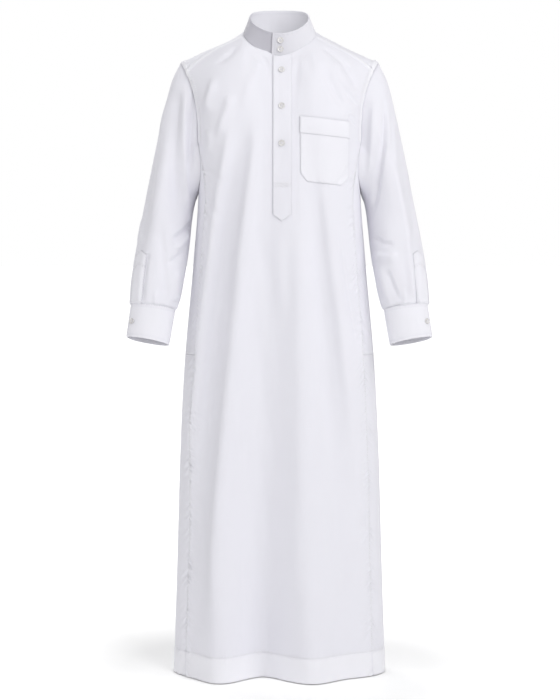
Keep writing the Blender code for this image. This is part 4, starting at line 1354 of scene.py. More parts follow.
@dataclass
class Sleeve(Sided):
    """One long sleeve, from the armhole to the cuff seam."""

    form: BodyForm
    finish: Material
    side: str
    columns: int = 132
    rows: int = 168
    cloth: float = 0.0009
    armhole_blend: float = 0.34
    armhole_gap: float = 0.0003
    length: float = 0.54
    mean_radius: float = 0.075
    armhole_radius: float = 0.11
    join_fade: float = 25.0
    dip: float = 0.0005
    end_dip: float = 0.0034
    end_reach: float = 0.0038
    dip_reach: float = 0.0012
    wave: float = 0.0010
    wave_length: float = 0.010
    wave_reach: float = 0.010
    wave_seed: int = 40
    facing: float = 2.5
    facing_from: float = 0.35
    end_step: float = 0.0018
    end_crowd: float = 0.02
    # Painted shade along the armhole end of the sleeve.
    end_dark: float = 0.2
    end_dark_width: float = 0.0026
    folds: tuple[AroundFold, ...] = (
        AroundFold(38.0, -0.0045, 15.0, 0.10, 0.80),
        AroundFold(72.0, 0.0040, 16.0, 0.05, 0.75),
        AroundFold(112.0, -0.0045, 15.0, 0.04, 0.62),
        AroundFold(228.0, -0.0040, 18.0, 0.10, 0.70),
        AroundFold(292.0, 0.0035, 18.0, 0.15, 0.85),
    )
    creases: tuple[Crease, ...] = ()
    gathers: CuffGathers = CuffGathers(3)
    cut: Cut = Cut(0.440, 0.545, 0.1545, Hold.HUNG, LONG_PANELS)
    unevenness: tuple[Unevenness, ...] = ()

    def armhole(self, angle: Array) -> Array:
        """Return points of the armhole seam, 0 degrees at the tip and 90 at the front."""
        form = self.form
        turn = np.radians(angle)
        z = (form.tip_z + form.armpit_z) / 2 + (form.tip_z - form.armpit_z) / 2 * np.cos(turn)
        front = np.sin(turn) >= 0
        up = np.clip((z - form.chest_z) / (form.tip_z - form.chest_z), 0.0, 1.0)
        rise = np.arcsin(up) * 2 / math.pi
        above = np.where(front[..., None], form.upper(np.ones_like(z), rise, False),
                         form.upper(np.ones_like(z), rise, True))
        down = np.clip((form.chest_z - z) / (form.chest_z - form.armpit_z), 0.0, 1.0)
        share = np.sin(np.arcsin(down) / 2) ** 2
        share = np.where(front, share, 1 - share)
        level = np.minimum(z, form.chest_z)
        first, last = form.seam_angle(level, False), form.seam_angle(level, True)
        below = form.ring(first + (last - first) * share, level)
        return np.where((z >= form.chest_z)[..., None], above, below)

    def smooth_at(self, angle: Array, along: Array) -> Array:
        """Return points of the sleeve's form with its lengthwise folds, on the +X side."""
        lift = sum(fold.relief(angle, along) for fold in self.folds)
        point = tube_section(SLEEVE_ROWS, angle, along) + tube_outward(angle) * lift[..., None]
        keep = np.clip(1 - along / self.armhole_blend, 0.0, 1.0) ** 2
        pull = self.armhole(angle) - tube_section(SLEEVE_ROWS, angle, np.zeros_like(along))
        return point + pull * keep[..., None] + np.array((self.armhole_gap, 0.0, 0.0))

    def relief(self, points: Array, angle: Array, along: Array) -> Array:
        """Return the creases, gathers and seam relief of the cloth.

        Args:
            points: the smooth net, on the +X side.
            angle: degrees round it at each point.
            along: shares of the way down.

        Returns:
            The relief.
        """
        x, z = points[..., 0] * self.flip, points[..., 2]
        facing = np.sin(np.radians(angle))
        front = ease(facing * self.facing + self.facing_from)
        total = self.gathers.relief(angle, along)
        for crease in self.creases:
            total = total + crease.relief(x, z) * front
        joined = ease(np.minimum(angle, 360 - angle) / self.join_fade)
        around = np.radians(angle) * self.mean_radius
        for part in self.unevenness:
            total = total + part.relief(around, z) * joined
        run = along * self.length
        waves = pucker(np.radians(angle) * self.armhole_radius, run,
                       self.wave_seed + self.flip, self.wave_length, self.wave_reach)
        total = total + self.wave * waves * ease(run / self.dip_reach) * joined
        total = total - self.dip * np.exp(-run / self.dip_reach)
        return total - self.end_dip * ease(1 - (1 - along) * self.length / (2 * self.end_reach))

    def surface(self, angle: Array, along: Array, lift: Array | float = 0.0) -> Array:
        """Return a net of points on the finished sleeve, moved out by a lift.

        Args:
            angle: degrees round it, a net.
            along: shares of the way down, a net.
            lift: how far out.

        Returns:
            Points on this sleeve's own side.
        """
        points = self.smooth_at(angle, along)
        whole = bool(np.isclose(angle[0, -1] - angle[0, 0], 360.0))
        height = self.relief(points, angle, along) + lift
        return lifted(points, height, whole) * (self.flip, 1, 1)

    def build(self) -> Piece:
        """Build the sleeve's cloth."""
        turn = np.linspace(0.0, 360.0, self.columns + 1)
        down = crowded(1.0, 1 / self.rows, self.end_step, self.end_crowd)
        angle, along = np.meshgrid(turn, down)
        points = self.surface(angle, along)
        # Painted shade along the armhole end of the sleeve.
        ends = self.end_dark * bell(along * self.length, self.end_dark_width)
        return cloth_piece(f"sleeve_{self.side}", points[:, ::self.flip], self.finish, self.cut,
                           self.cloth, wrap=True, painted_shade=ends[:, ::self.flip])


@dataclass
class Cuff(Sided):
    """Stiff doubled cuff, buttoned over its own tucked end."""

    finish: Material
    side: str
    cloth: float = 0.0022
    edge_angle: float = 17.0
    underlap_angle: float = 60.0
    tuck_start: float = 300.0
    tuck_end: float = 350.0
    tuck_gap: float = 0.0006
    columns: int = 130
    rows: int = 26
    run_radius: float = 0.042
    edge: DoubledEdge = DoubledEdge(0.0055, seed=6, wave_length=0.009)
    rolled: float = 0.0007
    # Painted shade along the row near the hand edge.
    hand_dark: float = 0.3
    hand_width: float = 0.0008
    height: float = 0.069
    cut: Cut = Cut(0.2825, 0.0725, 0.0200, Hold.FOLDED, ())
    unevenness: tuple[Unevenness, ...] = ()

    def turn_at(self, share: Array) -> Array:
        """Return the angle at a share along the cuff's cloth."""
        return self.edge_angle + (360 + self.underlap_angle - self.edge_angle) * share

    def run_at(self, share: Array) -> Array:
        """Return the distance along the cloth from its free edge."""
        return np.radians(self.turn_at(share) - self.edge_angle) * self.run_radius

    def surface(self, share: Array, down: Array, lift: Array | float = 0.0) -> Array:
        """Return a net of points on the cuff, moved out by a lift.

        Args:
            share: along the cuff from its free edge, a net.
            down: from the seam to the hand edge, a net.
            lift: how far out.

        Returns:
            Points on this cuff's own side.
        """
        angle = self.turn_at(share)
        under = ease((angle - self.tuck_start) / (self.tuck_end - self.tuck_start))
        inward = tube_outward(angle) * (under * (self.cloth + self.tuck_gap))[..., None]
        point = tube_section(CUFF_ROWS, angle, down) - inward
        height = self.relief(share, down) + lift
        return lifted(point, height) * (self.flip, 1, 1)

    def relief(self, share: Array, down: Array) -> Array:
        """Return the stitched channels near the edges and the cloth's unevenness."""
        run, fall = self.run_at(share), down * self.height
        total = sum(part.relief(run, fall) for part in self.unevenness)
        return total + sum(self.edge.relief(run + fall, away)
                           for away in (fall, self.height - fall, run))

    def build(self) -> Piece:
        """Build the cuff."""
        share, down = even_net(self.columns, self.rows)
        run, fall = self.run_at(share), down * self.height
        hand = self.height - fall - self.edge.inset
        # Painted shade of the edges and stitched rows, the row near the hand edge too.
        seam = self.edge.shade(np.minimum(run, fall)) + self.hand_dark * bell(hand, self.hand_width)
        cut = replace(self.cut, rests_on=(f"sleeve_{self.side}_cloth",))
        return cloth_piece(f"cuff_{self.side}", self.surface(share, down)[:, ::self.flip],
                           self.finish, cut, self.cloth, self.rolled, seam=seam[:, ::self.flip])


@dataclass
class SleevePlacket:
    """Pointed strip that binds a sleeve's opening above its cuff."""

    sleeve: Sleeve
    finish: Material
    span: float = 0.25
    point: float = 0.022
    angle: float = 43.5
    top_half_angle: float = 17.0
    cuff_half_angle: float = 21.0
    lift: float = 0.0016
    cloth: float = 0.0010
    edge_drop: float = 0.0006
    edge_angle: float = 2.0
    edge_start: float = 0.8
    end_gap: float = 0.001
    mean_radius: float = 0.05
    edge: DoubledEdge = DoubledEdge(0.0020, line=0.0008)
    cross: float = 0.034
    cross_gap: float = 0.004
    # Painted shade in the two cross-stitched rows.
    cross_dark: float = 0.75
    cross_width: float = 0.0008
    cut: Cut = Cut(0.0376, 0.1162, 0.0037, Hold.FOLDED, ())
    columns: int = 41
    rows: int = 120

    def half_angle(self, down: Array) -> Array:
        """Return half the strip's angle round the sleeve at shares of the way down it."""
        return self.top_half_angle + (self.cuff_half_angle - self.top_half_angle) * down

    def net(self) -> tuple[Array, Array]:
        """Return the angles and shares down the sleeve of the strip's net."""
        share, down = even_net(self.columns, self.rows, -1.0)
        top = 1 - self.span - self.point * (1 - np.abs(share))
        return (self.angle + self.half_angle(down) * share,
                top + (1 - self.end_gap - top) * down)

    def build(self) -> Piece:
        """Build the strip on its sleeve."""
        angle, along = self.net()
        share = np.abs(angle - self.angle) / (self.top_half_angle + self.edge_angle)
        rolled = self.edge_drop * ease((share - self.edge_start) / (1 - self.edge_start))
        points = self.sleeve.surface(angle, along, self.lift - rolled)
        half = self.half_angle((along - along.min()) / (1 - along.min()))
        aside = (1 - np.abs(angle - self.angle) / half) * np.radians(half) * self.mean_radius
        top = (along - along[:1]) * self.sleeve.length
        seam = self.edge.shade(np.minimum(aside, top))
        # Painted shade in the two cross-stitched rows.
        for cross in (self.cross, self.cross + self.cross_gap):
            seam = seam + self.cross_dark * bell(top - cross, self.cross_width)
        side, flip = self.sleeve.side, self.sleeve.flip
        cut = replace(self.cut, rests_on=(f"sleeve_{side}_cloth",))
        return cloth_piece(f"sleeve_placket_{side}", points[:, ::flip], self.finish, cut,
                           self.cloth, seam=seam[:, ::flip])


# ------------------------------------------------------------------ collar, placket and pocket
@dataclass
class Collar:
    """Stand collar with an overlapped front, doubled and stitched round its edge."""

    form: BodyForm
    finish: Material
    rim_half_width: float = 0.0645
    rim_half_depth: float = 0.0605
    rim_front_z: float = -0.0060
    rim_side_z: float = 0.0350
    rim_back_z: float = 0.0550
    edge_angle: float = -13.5
    end_angle: float = 373.5
    tuck_start: float = 300.0
    tuck_end: float = 335.0
    tuck_gap: float = 0.0006
    cloth: float = 0.0022
    columns: int = 260
    rows: int = 30
    run_radius: float = 0.068
    height: float = 0.044
    rolled: float = 0.0008
    edge: DoubledEdge = DoubledEdge(0.0050, seed=8)
    # Painted shade at the foot and along the rim's row, on the tucked end under the overlap and
    # across the front.
    foot_dark: float = 0.6
    foot_reach: float = 0.0007
    rim_dark: float = 0.3
    rim_width: float = 0.0008
    rounds: int = 8
    first_share: float = 0.3
    last_share: float = 0.8
    first_rise: float = 0.8
    under_shade: float = 0.54
    under_lead: float = 60.0
    under_fade: float = 50.0
    front_shade: float = 0.24
    front_end: float = 100.0
    front_fade: float = 110.0
    table_step: float = 7.5
    flare_angles: tuple[float, ...] = (0, 15, 30, 45, 60, 75, 90, 135, 180)
    flare: tuple[float, ...] = (0.0, 0.0, 0.07, 0.19, 0.17, 0.06, 0.02, 0.0, 0.0)
    flare_lift: float = 0.0022
    flare_full: float = 0.05
    cut: Cut = Cut(0.515, 0.053, 0.0203, Hold.FOLDED, LONG_PANELS)
    unevenness: tuple[Unevenness, ...] = ()

    def neckline(self, angle: Array, scale: Array | float = 1.0) -> Array:
        """Return the height of the body under a scaled neckline, 0 degrees at the front."""
        form = self.form
        turn = np.radians(angle)
        x = np.abs(scale * form.neck_half_width * np.sin(turn))
        y = -scale * form.neck_half_depth * np.cos(turn)
        heights = []
        for back in (False, True):
            share = np.full(x.shape, self.first_share)
            rise = np.full(x.shape, self.first_rise)
            for _ in range(self.rounds):
                rise = find_rising(lambda r: -np.abs(form.upper(share, r, back)[..., 1]),
                                   -np.abs(y))
                share = find_rising(lambda s: form.upper(s, rise, back)[..., 0], x,
                                    last=self.last_share)
            heights.append(form.upper(share, rise, back)[..., 2])
        return np.where(y > 0, heights[1], heights[0])

    def surface(self, angle: Array, up: Array, lift: Array | float = 0.0) -> Array:
        """Return a net of points on the collar, moved out by a lift.

        Args:
            angle: degrees round the neck from the front, a net.
            up: from the neckline to the rim, a net.
            lift: how far out.

        Returns:
            Points of the collar's outer face.
        """
        table = np.arange(0.0, 180.0 + self.table_step, self.table_step)
        folded = np.abs((angle + 180) % 360 - 180)
        flare = Track(self.flare_angles, self.flare)
        base_z = Track(table, self.neckline(table, 1 + flare(table)))(folded)
        wide = 1 + flare(folded)
        base_z = base_z + self.flare_lift * ease((wide - 1) / self.flare_full)
        s, c = np.sin(np.radians(angle)), np.cos(np.radians(angle))
        base = np.stack((self.form.neck_half_width * s * wide,
                         -self.form.neck_half_depth * c * wide, base_z), -1)
        tilt = (self.rim_front_z - self.rim_back_z) / 2
        bow = (self.rim_front_z + self.rim_back_z) / 2 - self.rim_side_z
        rim_z = self.rim_side_z + tilt * c + bow * c * c
        rim = np.stack((self.rim_half_width * s, -self.rim_half_depth * c, rim_z), -1)
        under = ease((angle - self.tuck_start) / (self.tuck_end - self.tuck_start))
        out = np.stack((s, -c, np.zeros_like(s)), -1)
        point = base + (rim - base) * up[..., None]
        point = point - out * (under * (self.cloth + self.tuck_gap))[..., None]
        return lifted(point, self.relief(angle, up) + lift)

    def relief(self, angle: Array, up: Array) -> Array:
        """Return the stitched channel near the rim and free edge, and the slight unevenness."""
        run, climb = np.radians(angle - self.edge_angle) * self.run_radius, up * self.height
        total = sum(part.relief(run, climb) for part in self.unevenness)
        return total + sum(self.edge.relief(run + climb, away)
                           for away in (self.height - climb, run))

    def build(self) -> Piece:
        """Build the collar."""
        angle, up = even_net(self.columns, self.rows, self.edge_angle, self.end_angle)
        seam = self.edge.shade(np.radians(angle - self.edge_angle) * self.run_radius)
        # Painted shade at the foot, where the collar meets the body, and along the rim's row.
        seam = seam + self.foot_dark * np.exp(-up * self.height / self.foot_reach)
        seam = seam + self.rim_dark * bell(self.height * (1 - up) - self.edge.inset,
                                           self.rim_width)
        # Painted shade on the tucked end under the overlap and, more lightly, across the front.
        under = ease((angle - self.tuck_start + self.under_lead) / self.under_fade)
        front = ease((self.front_end - angle) / self.front_fade)
        painted_shade = np.maximum(self.under_shade * under, self.front_shade * front)
        return cloth_piece("collar", self.surface(angle, up), self.finish, self.cut, self.cloth,
                           self.rolled, seam=seam, painted_shade=painted_shade)


@dataclass
class FrontPlacket:
    """Doubled strip down the front opening, pointed at its foot."""

    panel: FrontPanel
    collar: Collar
    finish: Material
    left: float = -0.0147
    right: float = 0.0258
    foot_z: float = -0.3895
    point_z: float = -0.4042
    cross_z: float = -0.3256
    cross_gap: float = 0.0052
    lift: float = 0.0019
    cloth: float = 0.0014
    rolled: float = 0.0004
    edge: DoubledEdge = DoubledEdge(0.0022, seed=9, wave=0.0002, wave_length=0.012,
                                    wave_reach=0.006, roll=0.0006, groove_width=0.0007)
    cross_groove: float = 0.0006
    cross_groove_width: float = 0.0010
    # Painted shade in the cross-stitched rows and along the free left edge, and a painted highlight
    # along both rolled edges.
    cross_dark: float = 0.9
    cross_width: float = 0.0008
    band_white: float = 0.6
    band_place: float = 0.0038
    band_width: float = 0.0012
    left_dark: float = 1.1
    left_width: float = 0.0024
    left_fade: float = 0.001
    columns: int = 36
    rows: int = 190
    column_step: float = 0.012
    column_crowd: float = 0.15
    top_gap: float = 0.0012
    top_turns: tuple[float, float] = (-15.0, 22.0)
    top_places: int = 9
    cut: Cut = Cut(0.0420, 0.3594, 0.0145, Hold.FOLDED, ("front_panel_cloth",))

    def net(self) -> tuple[Array, Array]:
        """Return the sideways places and heights of the strip's net."""
        share, up = np.meshgrid(crowded(1.0, 1 / self.columns, self.column_step,
                                        self.column_crowd),
                                np.linspace(0.0, 1.0, self.rows))
        x = self.left + (self.right - self.left) * share
        foot = self.foot_z + (self.point_z - self.foot_z) * (1 - np.abs(2 * share - 1))
        turn = np.degrees(np.arcsin(x / self.panel.form.neck_half_width))
        table = np.linspace(*self.top_turns, self.top_places)
        top = Track(table, self.collar.neckline(table))(turn) - self.top_gap
        return x, foot + (top - foot) * up

    def relief(self, x: Array, z: Array) -> Array:
        """Return the rolled edges, stitched channels and cross stitching of the strip."""
        total = self.edge.relief(z, np.minimum(x - self.left, self.right - x))
        for cross in (self.cross_z, self.cross_z - self.cross_gap):
            total = total - self.cross_groove * bell(z - cross, self.cross_groove_width)
        return total

    def surface(self, x: Array, z: Array, lift: Array | float = 0.0) -> Array:
        """Return a net of points on the strip, moved out by a further lift."""
        return self.panel.patch(x, z, self.lift + self.relief(x, z) + lift)

    def build(self) -> Piece:
        """Build the placket on the front panel."""
        x, z = self.net()
        away = np.minimum(x - self.left, self.right - x)
        seam = self.edge.shade(np.minimum(away, z - z[:1]))
        # Painted shade in the two cross-stitched rows.
        for cross in (self.cross_z, self.cross_z - self.cross_gap):
            seam = seam + self.cross_dark * bell(z - cross, self.cross_width)
        # Painted highlight along both rolled edges.
        seam = seam - self.band_white * bell(away - self.band_place, self.band_width)
        # Painted shadow along the free left edge.
        left = ease((self.left_width - (x - self.left)) / self.left_fade)
        seam = np.maximum(seam, self.left_dark * left)
        return cloth_piece("front_placket", self.surface(x, z), self.finish, self.cut,
                           self.cloth, self.rolled, seam=seam)


@dataclass
class ChestPocket:
    """Patch pocket with a banded, slanting mouth and two cut lower corners."""

    panel: FrontPanel
    finish: Material
    left: float = 0.0436
    right: float = 0.1466
    top_left_z: float = -0.1840
    top_right_z: float = -0.1948
    chamfer: float = 0.0145
    left_foot_z: float = -0.3020
    right_foot_z: float = -0.3125
    chamfer_drop: float = 0.0180
    band: float = 0.0365
    band_side: float = 0.0006
    lift: float = 0.0017
    band_lift: float = 0.0030
    cloth: float = 0.0010
    rolled: float = 0.0003
    edge: DoubledEdge = DoubledEdge(0.0018, seed=14, wave=0.0002, wave_length=0.011,
                                    wave_reach=0.006, roll=0.0006, roll_reach=0.0007,
                                    groove_width=0.0007, line=0.0007)
    band_swell: float = 0.0006
    band_swell_share: float = 0.3
    columns: int = 62
    rows: int = 80
    band_rows: int = 26
    edge_step: float = 0.006
    column_crowd: float = 0.10
    row_crowd: float = 0.08
    cut: Cut = Cut(0.1150, 0.1370, 0.0147, Hold.LAID, ("front_panel_cloth",))
    band_cut: Cut = Cut(0.1125, 0.0374, 0.0041, Hold.FOLDED, ("chest_pocket_cloth",))

    def across(self, x: Array) -> Array:
        """Return the share of the pocket's width at sideways places."""
        return (x - self.left) / (self.right - self.left)

    def mouth(self, x: Array) -> Array:
        """Return the height of the slanting mouth."""
        return self.top_left_z + (self.top_right_z - self.top_left_z) * self.across(x)

    def foot(self, x: Array) -> Array:
        """Return the height of the lower edge with its cut corners."""
        slant = self.left_foot_z + (self.right_foot_z - self.left_foot_z) * self.across(x)
        near = np.minimum(x - self.left, self.right - x)
        return slant - self.chamfer_drop * np.clip(near / self.chamfer, 0.0, 1.0)

    def lay(self, node: str, x: Array, z: Array, away: Array, lift: Array | float,
            edge: DoubledEdge, cut: Cut) -> Piece:
        """Lay one piece on the front panel.

        Args:
            node: the solid that it replaces.
            x: the sideways places of its net.
            z: the heights of its net.
            away: distances from its nearest edge.
            lift: how far it stands off the panel.
            edge: its edge and stitches.
            cut: its flat cut.

        Returns:
            The piece.
        """
        points = self.panel.patch(x, z, lift + edge.relief(x + z, away))
        return cloth_piece(node, points, self.finish, cut, self.cloth, self.rolled,
                           seam=edge.shade(away))

    def build(self) -> list[Piece]:
        """Build the pocket and its band on the front panel."""
        share = crowded(1.0, 1 / self.columns, self.edge_step, self.column_crowd)
        x, up = np.meshgrid(self.left + (self.right - self.left) * share,
                            crowded(1.0, 1 / self.rows, self.edge_step, self.row_crowd))
        z = self.foot(x) + (self.mouth(x) - self.foot(x)) * up
        away = np.minimum(np.minimum(x - self.left, self.right - x), z - self.foot(x))
        pocket = self.lay("chest_pocket", x, z, away, self.lift, self.edge, self.cut)
        wide = self.right - self.left + 2 * self.band_side
        x, up = np.meshgrid(self.left - self.band_side + wide * share,
                            np.linspace(0.0, 1.0, self.band_rows))
        z = self.mouth(x) + self.band_side - self.band * (1 - up)
        low = z - self.mouth(x) - self.band_side + self.band
        away = np.minimum(np.minimum(x - x.min(), x.max() - x), np.minimum(low, self.band - low))
        swell = bell(low - self.band / 2, self.band * self.band_swell_share)
        edge = replace(self.edge, seed=self.edge.seed + 1)
        band = self.lay("pocket_band", x, z, away, self.band_lift + self.band_swell * swell,
                        edge, self.band_cut)
        return [pocket, band]


# ------------------------------------------------------------------ sewing and buttons
@dataclass(frozen=True)
class Button:
    """Sew-through button: dished disc with a raised rim, four holes and its thread."""

    finish: Material
    thread: Material
    radius: float = 0.0068
    thick: float = 0.0026
    rim: float = 0.0011
    dish: float = 0.0008
    hole: float = 0.00085
    hole_place: float = 0.0017
    segments: int = 56
    hole_segments: int = 14
    sharp: float = 40.0
    thread_radius: float = 0.00038
    thread_segments: tuple[int, int] = (10, 8)
    thread_sink: float = 0.8
    thread_rise: float = 0.2

    def profile(self) -> list[tuple[float, float]]:
        """Return the turned outline as radius and height, from the back's middle to the face's."""
        r, t = self.radius, self.thick
        return [(0.0, 0.0), (0.86 * r, 0.0), (0.94 * r, 0.1 * t), (0.985 * r, 0.35 * t),
                (r, 0.6 * t), (0.985 * r, 0.84 * t), (0.95 * r, 0.96 * t), (r - 0.6 * self.rim, t),
                (r - self.rim, 0.97 * t), (r - 1.5 * self.rim, t - 0.7 * self.dish),
                (r - 2.1 * self.rim, t - self.dish), (0.3 * r, t - 1.15 * self.dish),
                (0.0, t - 1.2 * self.dish)]

    def turned(self, name: str) -> Piece:
        """Turn the disc and drill its four holes.

        Args:
            name: the piece's name.

        Returns:
            The button lying on the origin, its face up.
        """
        bm = bmesh.new()
        knots = [bm.verts.new((x, 0.0, z)) for x, z in self.profile()]
        edges = [bm.edges.new(pair) for pair in zip(knots, knots[1:])]
        bmesh.ops.spin(bm, geom=knots + edges, axis=(0, 0, 1), cent=(0, 0, 0),
                       angle=2 * math.pi, steps=self.segments, use_merge=True)
        bmesh.ops.remove_doubles(bm, verts=bm.verts, dist=TINY)
        bmesh.ops.recalc_face_normals(bm, faces=bm.faces)
        body = self.to_object(bm, name)
        bm = bmesh.new()
        for k in range(4):
            place = Matrix.Rotation(math.radians(45 + 90 * k), 4, "Z")
            place = place @ Matrix.Translation((self.hole_place, 0.0, self.thick / 2))
            bmesh.ops.create_cone(bm, cap_ends=True, segments=self.hole_segments, radius1=self.hole,
                                  radius2=self.hole, depth=3 * self.thick, matrix=place)
        drill = self.to_object(bm, name + "_drill")
        cut = body.modifiers.new("holes", "BOOLEAN")
        cut.operation = "DIFFERENCE"
        cut.object = drill
        cut.solver = "EXACT"
        bake(body)
        bpy.data.objects.remove(drill, do_unlink=True)
        body.data.set_sharp_from_angle(angle=math.radians(self.sharp))
        return body

    def to_object(self, bm: bmesh.types.BMesh, name: str) -> Piece:
        """Make an object from a bmesh, smooth shaded."""
        mesh = mesh_of(bm, name)
        smooth(mesh)
        return linked(name, mesh)

    def sewn(self, name: str) -> Piece:
        """Make the two bars of thread through the holes."""
        bm = bmesh.new()
        half = self.hole_place / math.sqrt(2)
        size = Matrix.Diagonal((half + self.hole * self.thread_sink, self.thread_radius,
                                self.thread_radius, 1.0))
        tip = Matrix.Rotation(math.radians(90), 4, "Y")
        across, down = self.thread_segments
        apart = self.thread_radius * self.thread_sink
        z = self.thick - self.dish + self.thread_radius * self.thread_rise
        for y in (-half, half):
            for turn in (-1, 1):
                place = Matrix.Translation((0.0, y + turn * apart, z))
                bmesh.ops.create_uvsphere(bm, u_segments=across, v_segments=down, radius=1.0,
                                          matrix=place @ size @ tip)
        return self.to_object(bm, name)

    def place(self, node: str, turn: float) -> list[Piece]:
        """Put a button where its solid is.

        Args:
            node: the solid's name.
            turn: how far the holes are turned, in degrees.

        Returns:
            The button and its thread.
        """
        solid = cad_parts[node]
        flat = np.array([vert.co for vert in solid.data.vertices])
        middle = flat.mean(0)
        out = np.linalg.svd(flat - middle)[2][2]
        if out[1] > 0:
            out = -out
        low = ((flat - middle) @ out).min()
        seat = Matrix.Translation(Vector(middle + out * low))
        facing = Vector(out).to_track_quat("Z", "Y").to_matrix().to_4x4()
        matrix = seat @ facing @ Matrix.Rotation(math.radians(turn), 4, "Z")
        disc, bars = self.turned(node + "_disc"), self.sewn(node + "_thread")
        for piece in (disc, bars):
            piece.data.transform(matrix)
        mount_piece(disc, self.finish, BUTTON_SLOT, node)
        mount_piece(bars, self.thread, CLOTH_SLOT)
        return [disc, bars]


# ------------------------------------------------------------------ finishes
class NodeBench:
    """Adds nodes to a tree one after another and joins them."""

    def __init__(self, tree: NodeTree) -> None:
        """Keep the tree and start at its left."""
        self.tree = tree
        self.count = 0

    def add(self, kind: str, label: str, **settings: object) -> Node:
        """Add a node.

        Args:
            kind: Blender's name of the node type.
            label: a short label.
            settings: attributes of the node.

        Returns:
            The node.
        """
        node = self.tree.nodes.new(kind)
        node.label = label
        node.location = (220 * self.count, -40 * (self.count % 5))
        self.count += 1
        for name, value in settings.items():
            setattr(node, name, value)
        return node

    def feed(self, node: Node, socket: str | int,
             value: Socket | float | Sequence[float]) -> None:
        """Join a socket to a node's input, or set its value."""
        if isinstance(value, Socket):
            self.tree.links.new(value, node.inputs[socket])
        else:
            node.inputs[socket].default_value = value

    def sum(self, operation: str, label: str,
            *values: Socket | float) -> Socket:
        """Add a Math node and return what it puts out."""
        node = self.add("ShaderNodeMath", label, operation=operation)
        for k, value in enumerate(values):
            self.feed(node, k, value)
        return node.outputs[0]

    def share(self, label: str, value: Socket, low: float,
              high: float) -> Socket:
        """Turn a value into a share, from none at low to all at high."""
        node = self.add("ShaderNodeMapRange", label)
        self.feed(node, "Value", value)
        self.feed(node, "From Min", low)
        self.feed(node, "From Max", high)
        return node.outputs[0]

    def noise(self, label: str, place: Socket,
              scale: Socket | float, detail: float,
              distortion: float = 0.0) -> Socket:
        """Add a Noise Texture node and return its value."""
        node = self.add("ShaderNodeTexNoise", label, noise_dimensions="3D")
        for socket, value in (("Vector", place), ("Scale", scale), ("Detail", detail),
                              ("Distortion", distortion)):
            self.feed(node, socket, value)
        return node.outputs["Fac"]

    def scaled(self, label: str, place: Socket,
               scale: Sequence[float]) -> Socket:
        """Add a Mapping node that scales a place."""
        node = self.add("ShaderNodeMapping", label)
        self.feed(node, "Vector", place)
        self.feed(node, "Scale", scale)
        return node.outputs[0]

    def group(self, label: str, tree: NodeTree,
              **values: Socket | float) -> Node:
        """Add a group node, its inputs named with underscores for spaces."""
        node = self.add("ShaderNodeGroup", label, node_tree=tree)
        for name, value in values.items():
            self.feed(node, name.replace("_", " "), value)
        return node

    def blend(self, label: str, share: Socket,
              first: Socket | Sequence[float],
              last: Socket | Sequence[float]) -> Socket:
        """Blend two colours by a share."""
        node = self.add("ShaderNodeMix", label, data_type="RGBA")
        for socket, value in ((0, share), (6, first), (7, last)):
            self.feed(node, socket, value)
        return node.outputs[2]

    def bump(self, label: str, distance: float, height: Socket,
             under: Socket | None = None) -> Socket:
        """Add a Bump node over another's normal and return its normal."""
        node = self.add("ShaderNodeBump", label)
        self.feed(node, "Distance", distance)
        self.feed(node, "Height", height)
        if under is not None:
            self.feed(node, "Normal", under)
        return node.outputs["Normal"]


def new_material(name: str, colour: Sequence[float]) -> tuple[Material, NodeBench]:
    """Start a material and return it with the bench to build it on."""
    finish = bpy.data.materials.new(name)
    finish.use_nodes = True
    finish.diffuse_color = colour
    return finish, NodeBench(finish.node_tree)


def set_shader(bench: NodeBench, **values: Socket | float | Sequence[float]) -> None:
    """Feed a material's shader, its inputs named with underscores for spaces."""
    shader = bench.tree.nodes["Principled BSDF"]
    for name, value in values.items():
        bench.feed(shader, name.replace("_", " "), value)


def new_group(name: str, inputs: dict[str, tuple[str, float | None]],
              outputs: dict[str, str]) -> tuple[NodeBench, Node, Node]:
    """Start a shader node group.

    Args:
        name: the group's name.
        inputs: each input's kind and default.
        outputs: each output's kind.

    Returns:
        The bench to build on, the group's input node and its output node.
    """
    tree = bpy.data.node_groups.new(name, "ShaderNodeTree")
    for title, (kind, value) in inputs.items():
        socket = tree.interface.new_socket(name=title, in_out="INPUT", socket_type=kind)
        if value is not None:
            socket.default_value = value
    for title, kind in outputs.items():
        tree.interface.new_socket(name=title, in_out="OUTPUT", socket_type=kind)
    bench = NodeBench(tree)
    return bench, bench.add("NodeGroupInput", "in"), bench.add("NodeGroupOutput", "out")


def weave_group() -> NodeTree:
    """Build the plain weave: crossing threads with uneven yarn.

    Returns:
        A group that gives the height of the weave and a slow change of tone.
    """
    bench, source, result = new_group(
        "plain weave",
        {"Cloth place": ("NodeSocketVector", None),
         "Threads per metre": ("NodeSocketFloat", 2200.0),
         "Yarn unevenness": ("NodeSocketFloat", 0.35)},
        {"Height": "NodeSocketFloat", "Tone": "NodeSocketFloat"})
    place = bench.add("ShaderNodeSeparateXYZ", "across and along")
    bench.feed(place, 0, source.outputs["Cloth place"])
    waves = []
    for k, label in ((0, "warp"), (1, "weft")):
        turns = bench.sum("MULTIPLY", label + " count", place.outputs[k],
                          source.outputs["Threads per metre"])
        angle = bench.sum("MULTIPLY", label + " angle", turns, math.pi)
        waves.append(bench.sum("SINE", label, angle))
    crossing = bench.sum("MULTIPLY", "crossing", waves[0], waves[1])
    drawn = bench.scaled("drawn along the warp", source.outputs["Cloth place"],
                         (1.0, 0.08, 1.0))
    yarn = bench.noise("uneven yarn", drawn, 900.0, 3.0)
    slub = bench.sum("MULTIPLY", "slub", yarn, source.outputs["Yarn unevenness"])
    bench.feed(result, "Height", bench.sum("MULTIPLY_ADD", "weave height", crossing, 0.5, slub))
    bench.feed(result, "Tone", bench.noise("slow tone", source.outputs["Cloth place"], 14.0, 4.0))
    return bench.tree


